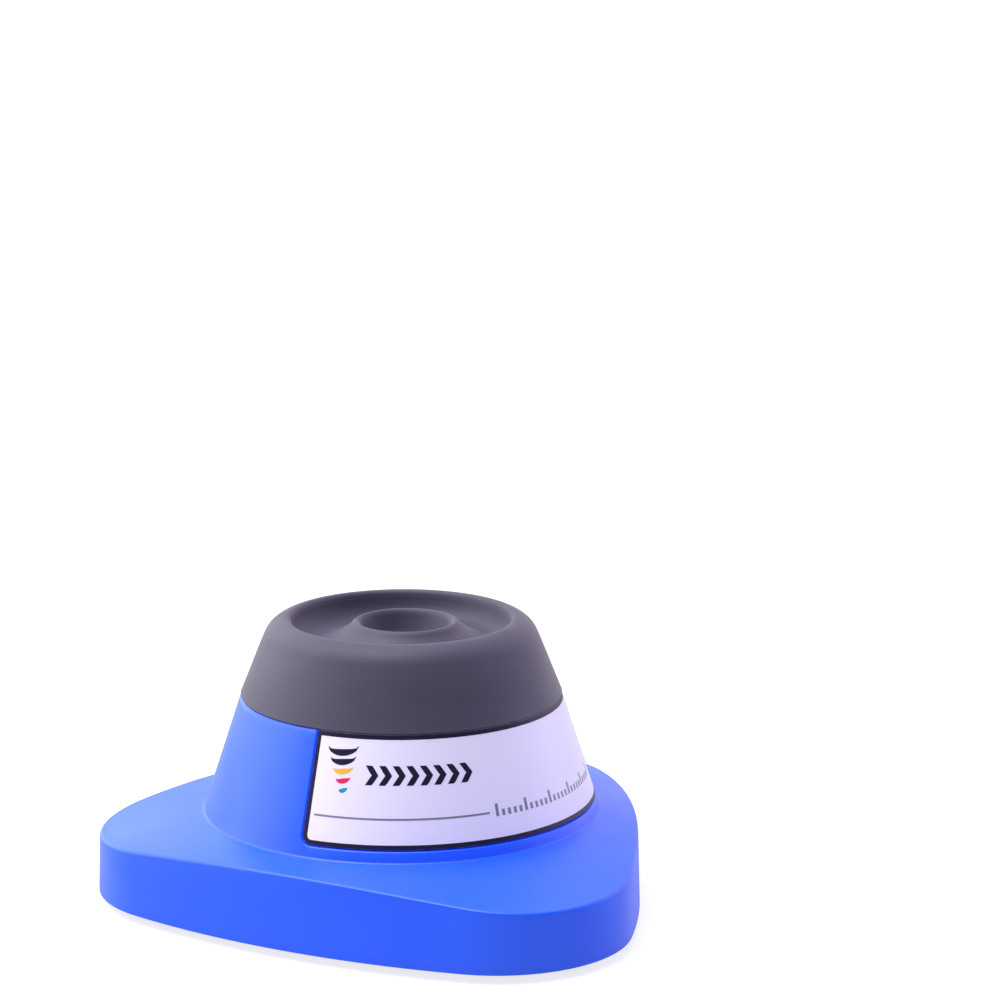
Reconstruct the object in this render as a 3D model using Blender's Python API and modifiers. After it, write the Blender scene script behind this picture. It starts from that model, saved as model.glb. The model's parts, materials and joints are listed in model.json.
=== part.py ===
"""A small touch-operated vortex mixer for laboratory tubes, as an assembly of separate parts.

Sizes are in millimetres and MM turns them into metres. +Z is up and the feet stand on z = 0.
The front lobe of the base points along -Y. Parts are laid out around the motor's axis, and one
empty moves them back by MOTOR_Y, so that the origin is the bottom centre of the whole object.
"""

import math

import bmesh
import bpy
from mathutils import Matrix

MM = 0.001

# Base plate: three round lobes joined by slightly bulging sides, under a gently sloping top.
LOBE_R = 29.67
FRONT_LOBE_Y = -39.9
REAR_LOBE_X = 33.4
REAR_LOBE_Y = 19.9
SIDE_BULGE = 4.0
WALL = 2.5
WALL_BOTTOM_Z = 2.0
PLATE_SLOPE = 0.228

# Tapered body above the plate, and the neck that the rubber boot grips.
CONE_FOOT_R = 44.56
CONE_FOOT_Z = 20.74
CONE_TAPER = 0.327
LEDGE_Z = 47.0
NECK_FOOT_R = 33.5
NECK_TAPER = 0.388
NECK_TOP_Z = 57.0

MOTOR_Y = -(FRONT_LOBE_Y + REAR_LOBE_Y + SIDE_BULGE) / 2

# Rubber boot and cup.
BOOT_FOOT_R = 35.9
RIM_R = 25.7
RIM_Z = 64.5
LIP_R = 11.3
LIP_Z = 64.3
CRATER_FLOOR_Z = 55.4

# Eccentric drive.
ECCENTRICITY = 2.0
SHAFT_R = 1.15
PIN_R = 2.95
BEARING_R = 9.5
BEARING_BOTTOM_Z = 42.8
BEARING_TOP_Z = 48.8
CARRIER_R = 12.5

# Motor, hung from a plate that slides on three shouldered posts.
MOTOR_R = 12.2
CAN_BOTTOM_Z = 10.2
CAN_TOP_Z = 34.0
MOUNT_Z = 34.3
MOUNT_T = 2.0
POST_CIRCLE_R = 26.0
POST_R = 2.0
POST_BOSS_R = 5.5
POST_BOSS_Z = 13.5

# Label in its shallow recess on the tapered body.
LABEL_CENTRE_DEG = 1.5
LABEL_HALF_SPAN_DEG = 62.4
LABEL_BOTTOM_Z = 23.5
LABEL_TOP_Z = 46.9

# Base cover, feet and screws.
COVER_BOTTOM_Z = 2.3
COVER_TOP_Z = 4.4
FOOT_R = 7.5
FOOT_OFFSET = 17.4
SCREW_OFFSET = 5.1

# Circuit board behind the motor.
BOARD_TOP_Z = 7.0
SOCKET_Z = 11.0
GAP = 0.3


def clear_scene():
    """Removes every object of the file that the script starts in."""
    for obj in list(bpy.data.objects):
        bpy.data.objects.remove(obj, do_unlink=True)


def make_collection(name):
    collection = bpy.data.collections.new(name)
    bpy.context.scene.collection.children.link(collection)
    return collection


def finish(name, colour, roughness, metallic=0.0):
    """One Principled material."""
    material = bpy.data.materials.new(name)
    material.use_nodes = True
    shader = material.node_tree.nodes["Principled BSDF"]
    shader.inputs["Base Color"].default_value = (*colour, 1.0)
    shader.inputs["Roughness"].default_value = roughness
    shader.inputs["Metallic"].default_value = metallic
    material.diffuse_color = (*colour, 1.0)
    return material


def make_frame(name, x=0.0, y=0.0, parent=None):
    """An empty on a vertical axis, in millimetres from its parent."""
    empty = bpy.data.objects.new(name, None)
    PARTS.objects.link(empty)
    empty.location = (x * MM, y * MM, 0.0)
    empty.parent = parent
    return empty


def place(name, data, material, frame):
    """Links an object for this mesh or curve under its frame, as a part."""
    obj = bpy.data.objects.new(name, data)
    PARTS.objects.link(obj)
    obj.parent = frame
    if material:
        data.materials.append(material)
    return obj


def mesh_from(bm, name, smooth=True):
    """Writes a bmesh out, with round faces smooth and edges sharp."""
    mesh = bpy.data.meshes.new(name)
    bm.to_mesh(mesh)
    bm.free()
    if smooth:
        mesh.shade_smooth()
        mesh.set_sharp_from_angle(angle=math.radians(35))
    return mesh


def rod(name, radius, low, high, material, frame, at=(0, 0), sides=16, top_radius=None):
    """An upright cylinder or cone between two heights."""
    bm = bmesh.new()
    middle = Matrix.Translation((at[0] * MM, at[1] * MM, (low + high) / 2 * MM))
    bmesh.ops.create_cone(
        bm,
        cap_ends=True,
        segments=sides,
        radius1=radius * MM,
        radius2=(radius if top_radius is None else top_radius) * MM,
        depth=(high - low) * MM,
        matrix=middle,
    )
    return place(name, mesh_from(bm, name), material, frame)


def cross_rod(name, radius, start, length, axis, material, frame, sides=16):
    """A level cylinder from a start point along X or Y."""
    bm = bmesh.new()
    turn = Matrix.Rotation(math.radians(90), 4, "Y" if axis == "X" else "X")
    centre = list(start)
    centre["XY".index(axis)] += length / 2
    where = Matrix.Translation([c * MM for c in centre])
    bmesh.ops.create_cone(
        bm,
        cap_ends=True,
        segments=sides,
        radius1=radius * MM,
        radius2=radius * MM,
        depth=abs(length) * MM,
        matrix=where @ turn,
    )
    return place(name, mesh_from(bm, name), material, frame)


def block(name, low, high, material, frame, turn_deg=0.0):
    """A box between two corners, turned about its frame's axis."""
    bm = bmesh.new()
    size = [(b - a) * MM for a, b in zip(low, high)]
    middle = Matrix.Translation([(a + b) / 2 * MM for a, b in zip(low, high)])
    turn = Matrix.Rotation(math.radians(turn_deg), 4, "Z")
    bmesh.ops.create_cube(bm, size=1.0, matrix=turn @ middle @ Matrix.Diagonal((*size, 1.0)))
    return place(name, mesh_from(bm, name, smooth=False), material, frame)


def turned(name, profile, material, frame, steps=24, at=(0, 0)):
    """A profile of (radius, height) turned about a vertical axis. It runs down its outer side.

    A profile that starts and ends on the axis is left open there, and any other is closed.
    """
    on_axis = profile[0][0] == 0 and profile[-1][0] == 0
    count = len(profile)
    edges = [(i, i + 1) for i in range(count - 1)] + ([] if on_axis else [(count - 1, 0)])
    mesh = bpy.data.meshes.new(name)
    mesh.from_pydata([(r * MM, 0.0, z * MM) for r, z in profile], edges, [])
    obj = place(name, mesh, material, frame)
    obj.location = (at[0] * MM, at[1] * MM, 0.0)
    screw = obj.modifiers.new("Turn", "SCREW")
    screw.steps = steps
    screw.render_steps = steps
    screw.use_merge_vertices = True
    screw.merge_threshold = 1e-6
    screw.use_smooth_shade = True
    return obj


def ring(name, inner, outer, low, high, material, frame, steps=20, at=(0, 0)):
    """A flat-ended tube."""
    profile = [(outer, high), (outer, low), (inner, low), (inner, high)]
    return turned(name, profile, material, frame, steps, at)


def as_tool(obj):
    """Makes a helper of an object: it shapes other parts and isn't a part itself."""
    PARTS.objects.unlink(obj)
    TOOLS.objects.link(obj)
    obj.hide_render = True
    obj.display_type = "WIRE"
    return obj


def boolean(obj, tool, operation):
    modifier = obj.modifiers.new(operation.title(), "BOOLEAN")
    modifier.object = tool if tool.name in TOOLS.objects else as_tool(tool)
    modifier.operation = operation
    return obj


def cut(obj, *tools):
    for tool in tools:
        boolean(obj, tool, "DIFFERENCE")
    return obj


def join(obj, *tools):
    for tool in tools:
        boolean(obj, tool, "UNION")
    return obj


def polar(radius, azimuth_deg):
    """The point at this radius, with azimuth 0 at the front and growing towards +X."""
    angle = math.radians(azimuth_deg)
    return (radius * math.sin(angle), -radius * math.cos(angle))


def plate_outline(inset, side_steps=5, lobe_steps=8):
    """The base's outline, moved inwards by inset: three bulging sides and the lobes between them."""
    lobes = [(0.0, FRONT_LOBE_Y), (REAR_LOBE_X, REAR_LOBE_Y), (-REAR_LOBE_X, REAR_LOBE_Y)]
    arcs = []
    for (ax, ay), (bx, by) in zip(lobes, lobes[1:] + lobes[:1]):
        chord = math.hypot(bx - ax, by - ay)
        radius = (chord**2 / 4 + SIDE_BULGE**2) / (2 * SIDE_BULGE)
        normal = math.atan2(ax - bx, by - ay)
        reach = SIDE_BULGE - radius
        centre = ((ax + bx) / 2 + reach * math.cos(normal), (ay + by) / 2 + reach * math.sin(normal))
        half = math.asin(chord / 2 / radius)
        arcs.append((centre, radius + LOBE_R - inset, normal - half, normal + half, side_steps))
    points = []
    for index, (centre, radius, start, end, steps) in enumerate(arcs):
        points += arc_points(centre, radius, start, end, steps)
        lobe = lobes[(index + 1) % 3]
        next_start = arcs[(index + 1) % 3][2]
        sweep = (next_start - end) % (2 * math.pi)
        lobe_arc = arc_points(lobe, LOBE_R - inset, end, end + sweep, lobe_steps)
        points += lobe_arc[1:-1]
    return points


def arc_points(centre, radius, start, end, steps):
    """Points along an arc, both ends included, with angles in radians from +X."""
    angles = [start + (end - start) * i / steps for i in range(steps + 1)]
    return [(centre[0] + radius * math.cos(a), centre[1] + radius * math.sin(a)) for a in angles]


def slab(name, outline, low, high, material, frame):
    """A flat outline as a filled 2D curve with thickness, made a welded mesh."""
    curve = bpy.data.curves.new(name + "_outline", "CURVE")
    curve.dimensions = "2D"
    curve.fill_mode = "BOTH"
    curve.extrude = (high - low) / 2 * MM
    spline = curve.splines.new("POLY")
    spline.points.add(len(outline) - 1)
    for point, (x, y) in zip(spline.points, outline):
        point.co = (x * MM, y * MM, 0.0, 1.0)
    spline.use_cyclic_u = True
    guide = bpy.data.objects.new(name + "_outline", curve)
    TOOLS.objects.link(guide)
    graph = bpy.context.evaluated_depsgraph_get()
    mesh = bpy.data.meshes.new_from_object(guide.evaluated_get(graph))
    bpy.data.objects.remove(guide)
    bm = bmesh.new()
    bm.from_mesh(mesh)
    bmesh.ops.remove_doubles(bm, verts=bm.verts, dist=1e-6)
    bmesh.ops.recalc_face_normals(bm, faces=bm.faces)
    bmesh.ops.translate(bm, verts=bm.verts, vec=(0.0, 0.0, (low + high) / 2 * MM))
    return place(name, mesh_from(bm, name), material, frame)


def wire(name, points, radius, material, frame):
    """A tube along points in millimetres."""
    curve = bpy.data.curves.new(name, "CURVE")
    curve.dimensions = "3D"
    curve.bevel_depth = radius * MM
    curve.bevel_resolution = 2
    curve.use_fill_caps = True
    spline = curve.splines.new("POLY")
    spline.points.add(len(points) - 1)
    for point, (x, y, z) in zip(spline.points, points):
        point.co = (x * MM, y * MM, z * MM, 1.0)
    return place(name, curve, material, frame)


def smooth_path(knots, per_span=3):
    """Points on a Catmull-Rom curve through the knots."""
    ends = [knots[0], *knots, knots[-1]]
    points = []
    for a, b, c, d in zip(ends, ends[1:], ends[2:], ends[3:]):
        for i in range(per_span):
            t = i / per_span
            points.append(
                tuple(
                    0.5
                    * (
                        2 * q
                        + (r - p) * t
                        + (2 * p - 5 * q + 4 * r - s) * t * t
                        + (3 * q - p - 3 * r + s) * t**3
                    )
                    for p, q, r, s in zip(a, b, c, d)
                )
            )
    return [*points, knots[-1]]


def cone_radius(z):
    """Outer radius of the tapered body at a height."""
    return CONE_FOOT_R - CONE_TAPER * (z - CONE_FOOT_Z)


def slope_z(radius):
    """Height of the base's sloping top at a distance from the motor's axis."""
    return CONE_FOOT_Z - PLATE_SLOPE * (radius - CONE_FOOT_R)


def label_patch(name, low, high, margin_deg, depth, thickness, material, frame, columns=18):
    """A piece of the tapered body's surface, sunk by depth, with thickness growing inwards."""
    bm = bmesh.new()
    half = LABEL_HALF_SPAN_DEG + margin_deg
    rows = []
    for z in (low, high):
        row = []
        for i in range(columns + 1):
            x, y = polar(cone_radius(z) - depth, LABEL_CENTRE_DEG - half + 2 * half * i / columns)
            row.append(bm.verts.new((x * MM, y * MM, z * MM)))
        rows.append(row)
    for i in range(columns):
        bm.faces.new((rows[0][i], rows[0][i + 1], rows[1][i + 1], rows[1][i]))
    obj = place(name, mesh_from(bm, name), material, frame)
    solid = obj.modifiers.new("Thickness", "SOLIDIFY")
    solid.thickness = thickness * MM
    solid.offset = -1.0
    return obj


def lobe_points(offset):
    """A point under each lobe, this far outwards from the centre of the lobe's arc."""
    scale = 1 + offset / math.hypot(REAR_LOBE_X, REAR_LOBE_Y)
    return {
        "front": (0.0, FRONT_LOBE_Y - offset),
        "rear_right": (REAR_LOBE_X * scale, REAR_LOBE_Y * scale),
        "rear_left": (-REAR_LOBE_X * scale, REAR_LOBE_Y * scale),
    }


def post_points():
    """Places of the three guide posts, with their names' endings."""
    return {
        "front": polar(POST_CIRCLE_R, 0),
        "right": polar(POST_CIRCLE_R, 120),
        "left": polar(POST_CIRCLE_R, 240),
    }


def build_housing(frame, blue):
    """The moulded shell: base walls, sloping top, tapered body and neck, open below and above."""
    housing = slab("housing", plate_outline(0), WALL_BOTTOM_Z, NECK_TOP_Z + 5, blue, frame)
    outer = [
        (0, NECK_TOP_Z),
        (NECK_FOOT_R - NECK_TAPER * (NECK_TOP_Z - LEDGE_Z), NECK_TOP_Z),
        (NECK_FOOT_R, LEDGE_Z),
        (cone_radius(LEDGE_Z), LEDGE_Z),
        (CONE_FOOT_R, CONE_FOOT_Z),
        (80, slope_z(80)),
        (80, 0),
        (0, 0),
    ]
    boolean(housing, turned("housing_outside", outer, None, frame, steps=48), "INTERSECT")
    inner_neck_r = NECK_FOOT_R - WALL
    crease_r = 42.74
    inner = [
        (0, NECK_TOP_Z + 3),
        (inner_neck_r - NECK_TAPER * (NECK_TOP_Z + 3 - LEDGE_Z), NECK_TOP_Z + 3),
        (inner_neck_r, LEDGE_Z),
        (inner_neck_r, LEDGE_Z - WALL),
        (cone_radius(LEDGE_Z - WALL) - WALL, LEDGE_Z - WALL),
        (crease_r, slope_z(crease_r) - WALL),
        (80, slope_z(80) - WALL),
        (80, -2),
        (0, -2),
    ]
    hollow = slab("housing_hollow", plate_outline(WALL), -1, NECK_TOP_Z + 8, None, frame)
    boolean(hollow, turned("housing_inside", inner, None, frame, steps=48), "INTERSECT")
    cut(housing, hollow)
    for name, at in lobe_points(SCREW_OFFSET).items():
        join(housing, rod("boss_" + name, 3.8, COVER_TOP_Z + GAP, 19.2, None, frame, at, 12))
        cut(housing, rod("boss_hole_" + name, 1.6, 0, 15.0, None, frame, at, 12))
    recess = label_patch(
        "label_recess", LABEL_BOTTOM_Z - 0.2, LEDGE_Z + 1, 0.3, -1.0, 1.9, None, frame, 20
    )
    cut(housing, recess)
    cut(housing, cross_rod("socket_hole", 4.6, (0, 45, SOCKET_Z), 12, "Y", None, frame))
    return housing


def build_label(frame, white):
    return label_patch("label", LABEL_BOTTOM_Z, LABEL_TOP_Z, 0.0, 0.1, 0.5, white, frame)


def build_base_cover(frame, black):
    """The screwed bottom plate, with the posts' bosses, the board's standoffs and the feet's seats."""
    cover = slab(
        "base_cover", plate_outline(WALL + GAP), COVER_BOTTOM_Z, COVER_TOP_Z, black, frame
    )
    for name, at in post_points().items():
        join(cover, rod("post_boss_" + name, POST_BOSS_R, 3.5, POST_BOSS_Z, None, frame, at))
        cut(cover, rod("post_bore_" + name, 1.65, 6.5, 16, None, frame, at, 12))
    for side in (-1, 1):
        at = (side * 12.5, 30.0)
        join(cover, rod(f"standoff_{side}", 2.4, 3.5, 5.1, None, frame, at, 12))
    for name, at in lobe_points(SCREW_OFFSET).items():
        cut(cover, rod("screw_way_" + name, 1.8, 0, 8, None, frame, at, 12))
        cut(cover, rod("screw_sink_" + name, 3.3, 1.5, 3.2, None, frame, at, 12))
    for name, at in lobe_points(FOOT_OFFSET).items():
        cut(cover, rod("foot_seat_" + name, FOOT_R + GAP, 1, 3.3, None, frame, at, 20))
    return cover


def build_feet(frame, rubber):
    """Round pads, domed a little less below than at their seat."""
    profile = [(0, 3.0), (FOOT_R, 3.0), (FOOT_R, 0.8), (FOOT_R - 0.8, 0), (0, 0)]
    for name, at in lobe_points(FOOT_OFFSET).items():
        turned("foot_" + name, profile, rubber, frame, 20, at)


def build_base_screws(frame, steel):
    """Pan-head screws from below into the shell's bosses."""
    profile = [(0, 13.0), (1.4, 12.4), (1.4, 3.1), (3.0, 3.1), (3.0, 2.4), (2.4, 2.1), (0, 2.1)]
    for name, at in lobe_points(SCREW_OFFSET).items():
        turned("base_screw_" + name, profile, steel, frame, 12, at)


def build_ballast(frame, iron):
    """A heavy plate on the cover, open round the motor, the bosses and the circuit board."""
    bottom, top = COVER_TOP_Z + GAP, 8.5
    ballast = slab("ballast_plate", plate_outline(9.0), bottom, top, iron, frame)
    cut(ballast, rod("ballast_motor_way", 15.5, 0, 20, None, frame, sides=24))
    cut(ballast, block("ballast_board_way", (-18, 8, 0), (18, 60, 20), None, frame))
    for name, at in post_points().items():
        cut(ballast, rod("ballast_post_way_" + name, 6.2, 0, 20, None, frame, at))
    for name, at in lobe_points(SCREW_OFFSET).items():
        cut(ballast, rod("ballast_boss_way_" + name, 4.4, 0, 20, None, frame, at, 12))
    return ballast


def build_posts(frame, steel):
    """Shouldered posts, whose heads stop the sliding motor plate at the top."""
    head_z = 38.2
    profile = [
        (0, head_z + 2),
        (3.6, head_z + 2),
        (4.0, head_z + 1.6),
        (4.0, head_z),
        (POST_R, head_z),
        (POST_R, POST_BOSS_Z + GAP),
        (1.5, POST_BOSS_Z + GAP),
        (1.5, 7.0),
        (0, 7.0),
    ]
    for name, at in post_points().items():
        post = turned("guide_post_" + name, profile, steel, frame, 14, at)
        cut(post, rod("post_socket_" + name, 1.5, head_z + 1, head_z + 3, None, frame, at, 6))


def build_springs(frame, steel):
    """Compression springs between the cover's bosses and the motor plate."""
    coil_r, wire_r, turns, per_turn = 3.55, 0.45, 4, 9
    low, high = POST_BOSS_Z + wire_r + 0.1, MOUNT_Z - wire_r - 0.1
    for name, (x, y) in post_points().items():
        points = []
        for i in range(turns * per_turn + 1):
            angle = 2 * math.pi * i / per_turn
            z = low + (high - low) * i / (turns * per_turn)
            points.append((x + coil_r * math.cos(angle), y + coil_r * math.sin(angle), z))
        wire("spring_" + name, points, wire_r, steel, frame)


def build_boot(frame, rubber):
    """The fixed half of the rubber boot: skirt, rounded rim and the outer wall of the trough."""
    profile = [
        (RIM_R, RIM_Z),
        (27.6, 64.2),
        (29.1, 63.3),
        (30.15, 61.8),
        (BOOT_FOOT_R, LEDGE_Z + GAP),
        (NECK_FOOT_R + GAP, LEDGE_Z + GAP),
        (28.4, 60.8),
        (26.8, 61.9),
        (25.8, 60.6),
        (24.6, 58.6),
        (22.4, 57.2),
        (20.6, 57.0),
        (20.6, 58.8),
        (22.3, 59.2),
        (23.7, 60.6),
        (24.4, 62.6),
        (24.9, 64.0),
    ]
    return turned("boot_skirt", profile, rubber, frame, 40)


def build_board(frame, board_green, chip_black, silver, white):
    """The circuit board behind the motor, with what stands on it."""
    board = block("circuit_board", (-15.5, 15, 5.4), (15.5, 46, BOARD_TOP_Z), board_green, frame)
    top = BOARD_TOP_Z + 0.2
    for side, name in ((-1, "left"), (1, "right")):
        at = (side * 12.5, 30.0)
        cut(board, rod("board_hole_" + name, 1.7, 0, 12, None, frame, at, 12))
        profile = [(0, top + 1.5), (1.8, top + 1.5), (2.6, top + 0.8), (2.6, top), (1.3, top)]
        turned("board_screw_" + name, [*profile, (1.3, 5.5), (0, 5.5)], silver, frame, 12, at)
    rod("capacitor", 3.4, top, 16.0, chip_black, frame, (-5.5, 26.5))
    block("driver_chip", (1.5, 25, top), (6.5, 31, 8.8), chip_black, frame)
    block("motor_header", (9.0, 19.0, top), (14.0, 23.0, 11.0), white, frame)


def build_switch(frame, button_frame, black, red):
    """The snap switch under the motor plate's finger, and its button."""
    body = block("switch_body", (-6.4, 15.1, 7.3), (6.4, 20.9, 13.0), black, frame)
    cut(body, block("button_way", (-1.6, 16.9, 9.0), (1.6, 19.1, 20.0), None, frame))
    block("switch_button", (-1.4, 17.1, 10.7), (1.4, 18.9, 14.7), red, button_frame)


def build_inlet(frame, black, silver):
    """The power socket at the back: a body on the board, a collar in the shell, and a centre pin."""
    body = block("dc_inlet", (-4.5, 40.0, 7.3), (4.5, 50.6, 15.6), black, frame)
    join(body, cross_rod("inlet_collar", 4.1, (0, 49.0, SOCKET_Z), 4.2, "Y", None, frame))
    cut(body, cross_rod("inlet_bore", 2.9, (0, 43.0, SOCKET_Z), 12.0, "Y", None, frame))
    cross_rod("dc_pin", 0.95, (0, 43.2, SOCKET_Z), 8.6, "Y", silver, frame, 12)


def build_motor(frame, silver, nylon, iron, copper, bronze):
    """Can, end bell, magnets, brushes, bushes and terminals."""
    can = [
        (MOTOR_R, CAN_TOP_Z),
        (MOTOR_R, CAN_BOTTOM_Z),
        (MOTOR_R - 0.8, CAN_BOTTOM_Z),
        (MOTOR_R - 0.8, CAN_TOP_Z - 0.9),
        (3.2, CAN_TOP_Z - 0.9),
        (3.2, CAN_TOP_Z),
    ]
    can_body = turned("motor_can", can, silver, frame)
    for side in (-1, 1):
        at = (side * 8.0, 0.0)
        cut(can_body, rod(f"can_hole_{side}", 1.4, 30, 40, None, frame, at, 12))
    bell = [(11.1, 11.6), (11.1, 8.6), (2.8, 8.6), (2.8, 11.6)]
    turned("motor_end_bell", bell, nylon, frame)
    ring("motor_bush_top", 1.25, 3.05, 32.0, 34.2, bronze, frame)
    ring("motor_bush_bottom", 1.25, 2.65, 8.8, 11.4, bronze, frame)
    for side, name in ((-1, "left"), (1, "right")):
        magnet = ring("magnet_" + name, 9.6, 11.1, 13.0, 31.0, iron, frame, 32)
        low, high = sorted((side * 4.5, side * 20))
        keep = block("magnet_keep_" + name, (low, -20, 0), (high, 20, 40), None, frame)
        boolean(magnet, keep, "INTERSECT")
        low, high = sorted((side * 3.2, side * 6.0))
        block("brush_" + name, (low, -1.0, 12.2), (high, 1.0, 13.8), copper, frame)
        turn = side * 60.0
        tab = (-1.0, 11.5, 9.2), (1.0, 14.0, 9.8)
        block("terminal_" + name, *tab, copper, frame, -turn)


def build_mount(frame, black, steel):
    """The sliding plate that carries the motor: a disc, three sleeved arms and the switch finger."""
    top = MOUNT_Z + MOUNT_T
    mount = rod("motor_mount", 13.0, MOUNT_Z, top, black, frame, sides=24)
    for name, (x, y) in post_points().items():
        azimuth = math.degrees(math.atan2(x, -y))
        low, high = (-3.0, -POST_CIRCLE_R, MOUNT_Z), (3.0, -8.0, top)
        join(mount, block("arm_" + name, low, high, None, frame, azimuth))
        join(mount, rod("sleeve_" + name, 4.6, MOUNT_Z, 37.8, None, frame, (x, y)))
        cut(mount, rod("sleeve_bore_" + name, POST_R + 0.12, 30, 40, None, frame, (x, y)))
    join(mount, block("finger_arm", (-3.0, 8, MOUNT_Z), (3.0, 19.5, top), None, frame))
    join(mount, block("finger", (-2.0, 16.5, 15.6), (2.0, 19.5, MOUNT_Z + 1), None, frame))
    cut(mount, rod("mount_centre_way", 3.6, 30, 40, None, frame))
    for side, name in ((-1, "left"), (1, "right")):
        at = (side * 8.0, 0.0)
        cut(mount, rod("mount_hole_" + name, 1.4, 30, 40, None, frame, at, 12))
        cut(mount, rod("mount_sink_" + name, 1.4, 34.9, 37.0, None, frame, at, 16, 3.2))
        profile = [(0, top - 0.1), (2.1, top - 0.1), (1.1, top - 1.2), (1.1, 32.4), (0, 32.4)]
        turned("motor_screw_" + name, profile, steel, frame, 12, at)


def build_leads(frame, red, black):
    """Two leads from the board to the motor's terminals."""
    right = [(12.5, 7.2, 9.5), (14.8, 9.2, 9.6), (15.4, 14.0, 11.4), (13.4, 18.6, 13.4)]
    right += [(11.5, 21.0, 12.6), (11.5, 21.0, 11.2)]
    wire("lead_red", smooth_path(right), 0.6, red, frame)
    left = [(-12.5, 7.2, 9.5), (-14.8, 9.2, 9.6), (-15.2, 14.0, 11.0), (-13.4, 18.6, 11.4)]
    left += [(-12.5, 21.0, 9.6), (-12.5, 21.2, BOARD_TOP_Z + 0.2)]
    wire("lead_black", smooth_path(left), 0.6, black, frame)


def build_rotor(frame, steel, iron, copper, brass):
    """Motor shaft with its wound armature, and the weighted eccentric hub on top."""
    rod("motor_shaft", SHAFT_R, 7.8, 39.8, steel, frame)
    ring("commutator", SHAFT_R + 0.08, 2.9, 12.0, 14.6, copper, frame)
    build_armature(frame, iron, copper)
    hub = rod("eccentric_hub", 8.0, 36.8, 41.0, brass, frame, sides=24)
    weight = rod("weight", 14.0, 36.8, 40.4, None, frame, sides=24)
    cut(weight, block("weight_front", (-20, -20, 30), (20, 1.5, 50), None, frame))
    join(hub, weight)
    pin_at = (0.0, -ECCENTRICITY)
    join(hub, rod("hub_pin", PIN_R, 39.0, 49.0, None, frame, pin_at))
    cut(hub, rod("shaft_bore", SHAFT_R + 0.08, 30, 40.0, None, frame))
    cut(hub, rod("pin_thread", 1.35, 42.5, 52, None, frame, pin_at, 12))
    cut(hub, cross_rod("grub_way", 1.3, (-9, 0, 38.6), 9, "X", None, frame, 12))
    cross_rod("grub_screw", 1.2, (-6.8, 0, 38.6), 5.4, "X", steel, frame, 12)
    inner = (PIN_R + 0.06, 5.6, BEARING_BOTTOM_Z, BEARING_TOP_Z)
    ring("bearing_inner_race", *inner, steel, frame, 20, pin_at)
    ring("pin_washer", 1.5, 4.4, 49.1, 49.7, steel, frame, 16, pin_at)
    screw = [(0, 51.0), (1.9, 51.0), (2.6, 50.5), (2.6, 49.8), (1.2, 49.8), (1.2, 43.2), (0, 43.2)]
    turned("pin_screw", screw, steel, frame, 12, pin_at)


def build_armature(frame, iron, copper):
    """A three-pole core with a coil on each pole."""
    core = rod("armature_core", 3.2, 16.5, 28.5, iron, frame, sides=18)
    cut(core, rod("core_bore", SHAFT_R + 0.08, 10, 35, None, frame))
    for index in range(3):
        turn = 120.0 * index
        neck = block(f"pole_neck_{index}", (-1.3, 2.0, 16.5), (1.3, 8.0, 28.5), None, frame, turn)
        shoe = ring(f"pole_shoe_{index}", 7.4, 9.2, 16.5, 28.5, None, frame, 30)
        reach = (-5.6, 4.0, 10.0), (5.6, 12.0, 40.0)
        boolean(shoe, block(f"shoe_keep_{index}", *reach, None, frame, turn), "INTERSECT")
        join(core, neck, shoe)
        coil_box = (-3.2, 4.2, 15.0), (3.2, 6.3, 30.0)
        coil = block(f"coil_{index + 1}", *coil_box, copper, frame, turn)
        way = (-1.5, 0.0, 16.3), (1.5, 12.0, 28.7)
        cut(coil, block(f"coil_way_{index}", *way, None, frame, turn))


def build_cup(frame, rubber, nylon, steel):
    """What orbits: the bearing's outer race and balls, their carrier, and the rubber cup."""
    ring("bearing_outer_race", 8.4, BEARING_R, BEARING_BOTTOM_Z, BEARING_TOP_Z, steel, frame, 28)
    cage = ring("ball_cage", 6.4, 7.6, 45.2, 46.4, steel, frame, 24)
    for index in range(6):
        x, y = polar(7.0, 60 * index)
        bm = bmesh.new()
        where = Matrix.Translation((x * MM, y * MM, 45.8 * MM))
        bmesh.ops.create_uvsphere(bm, u_segments=8, v_segments=6, radius=1.3 * MM, matrix=where)
        ball = mesh_from(bm, f"ball_{index}")
        join(cage, place(f"ball_{index}", ball, None, frame))
    carrier = [
        (0, 52.9),
        (CARRIER_R - 0.5, 52.9),
        (CARRIER_R, 52.4),
        (CARRIER_R, 41.5),
        (BEARING_R + 0.12, 41.5),
        (BEARING_R + 0.12, BEARING_TOP_Z + 0.2),
        (7.2, BEARING_TOP_Z + 0.2),
        (7.2, 51.3),
        (0, 51.3),
    ]
    turned("cup_carrier", carrier, nylon, frame, 28)
    ring("retaining_ring", 8.3, BEARING_R, 41.9, 42.5, steel, frame, 24)
    head = [
        (0, CRATER_FLOOR_Z),
        (4.0, CRATER_FLOOR_Z + 0.3),
        (7.4, CRATER_FLOOR_Z + 2.4),
        (9.4, 61.2),
        (10.5, 63.8),
        (LIP_R, LIP_Z),
        (12.2, 63.8),
        (13.6, 61.8),
        (15.4, 60.0),
        (18.0, 58.9),
        (18.0, 57.4),
        (15.6, 57.0),
        (14.6, 55.6),
        (14.6, 46.0),
        (CARRIER_R + GAP, 46.0),
        (CARRIER_R + GAP, 53.2),
        (0, 53.2),
    ]
    turned("cup_head", head, rubber, frame, 36)


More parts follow.
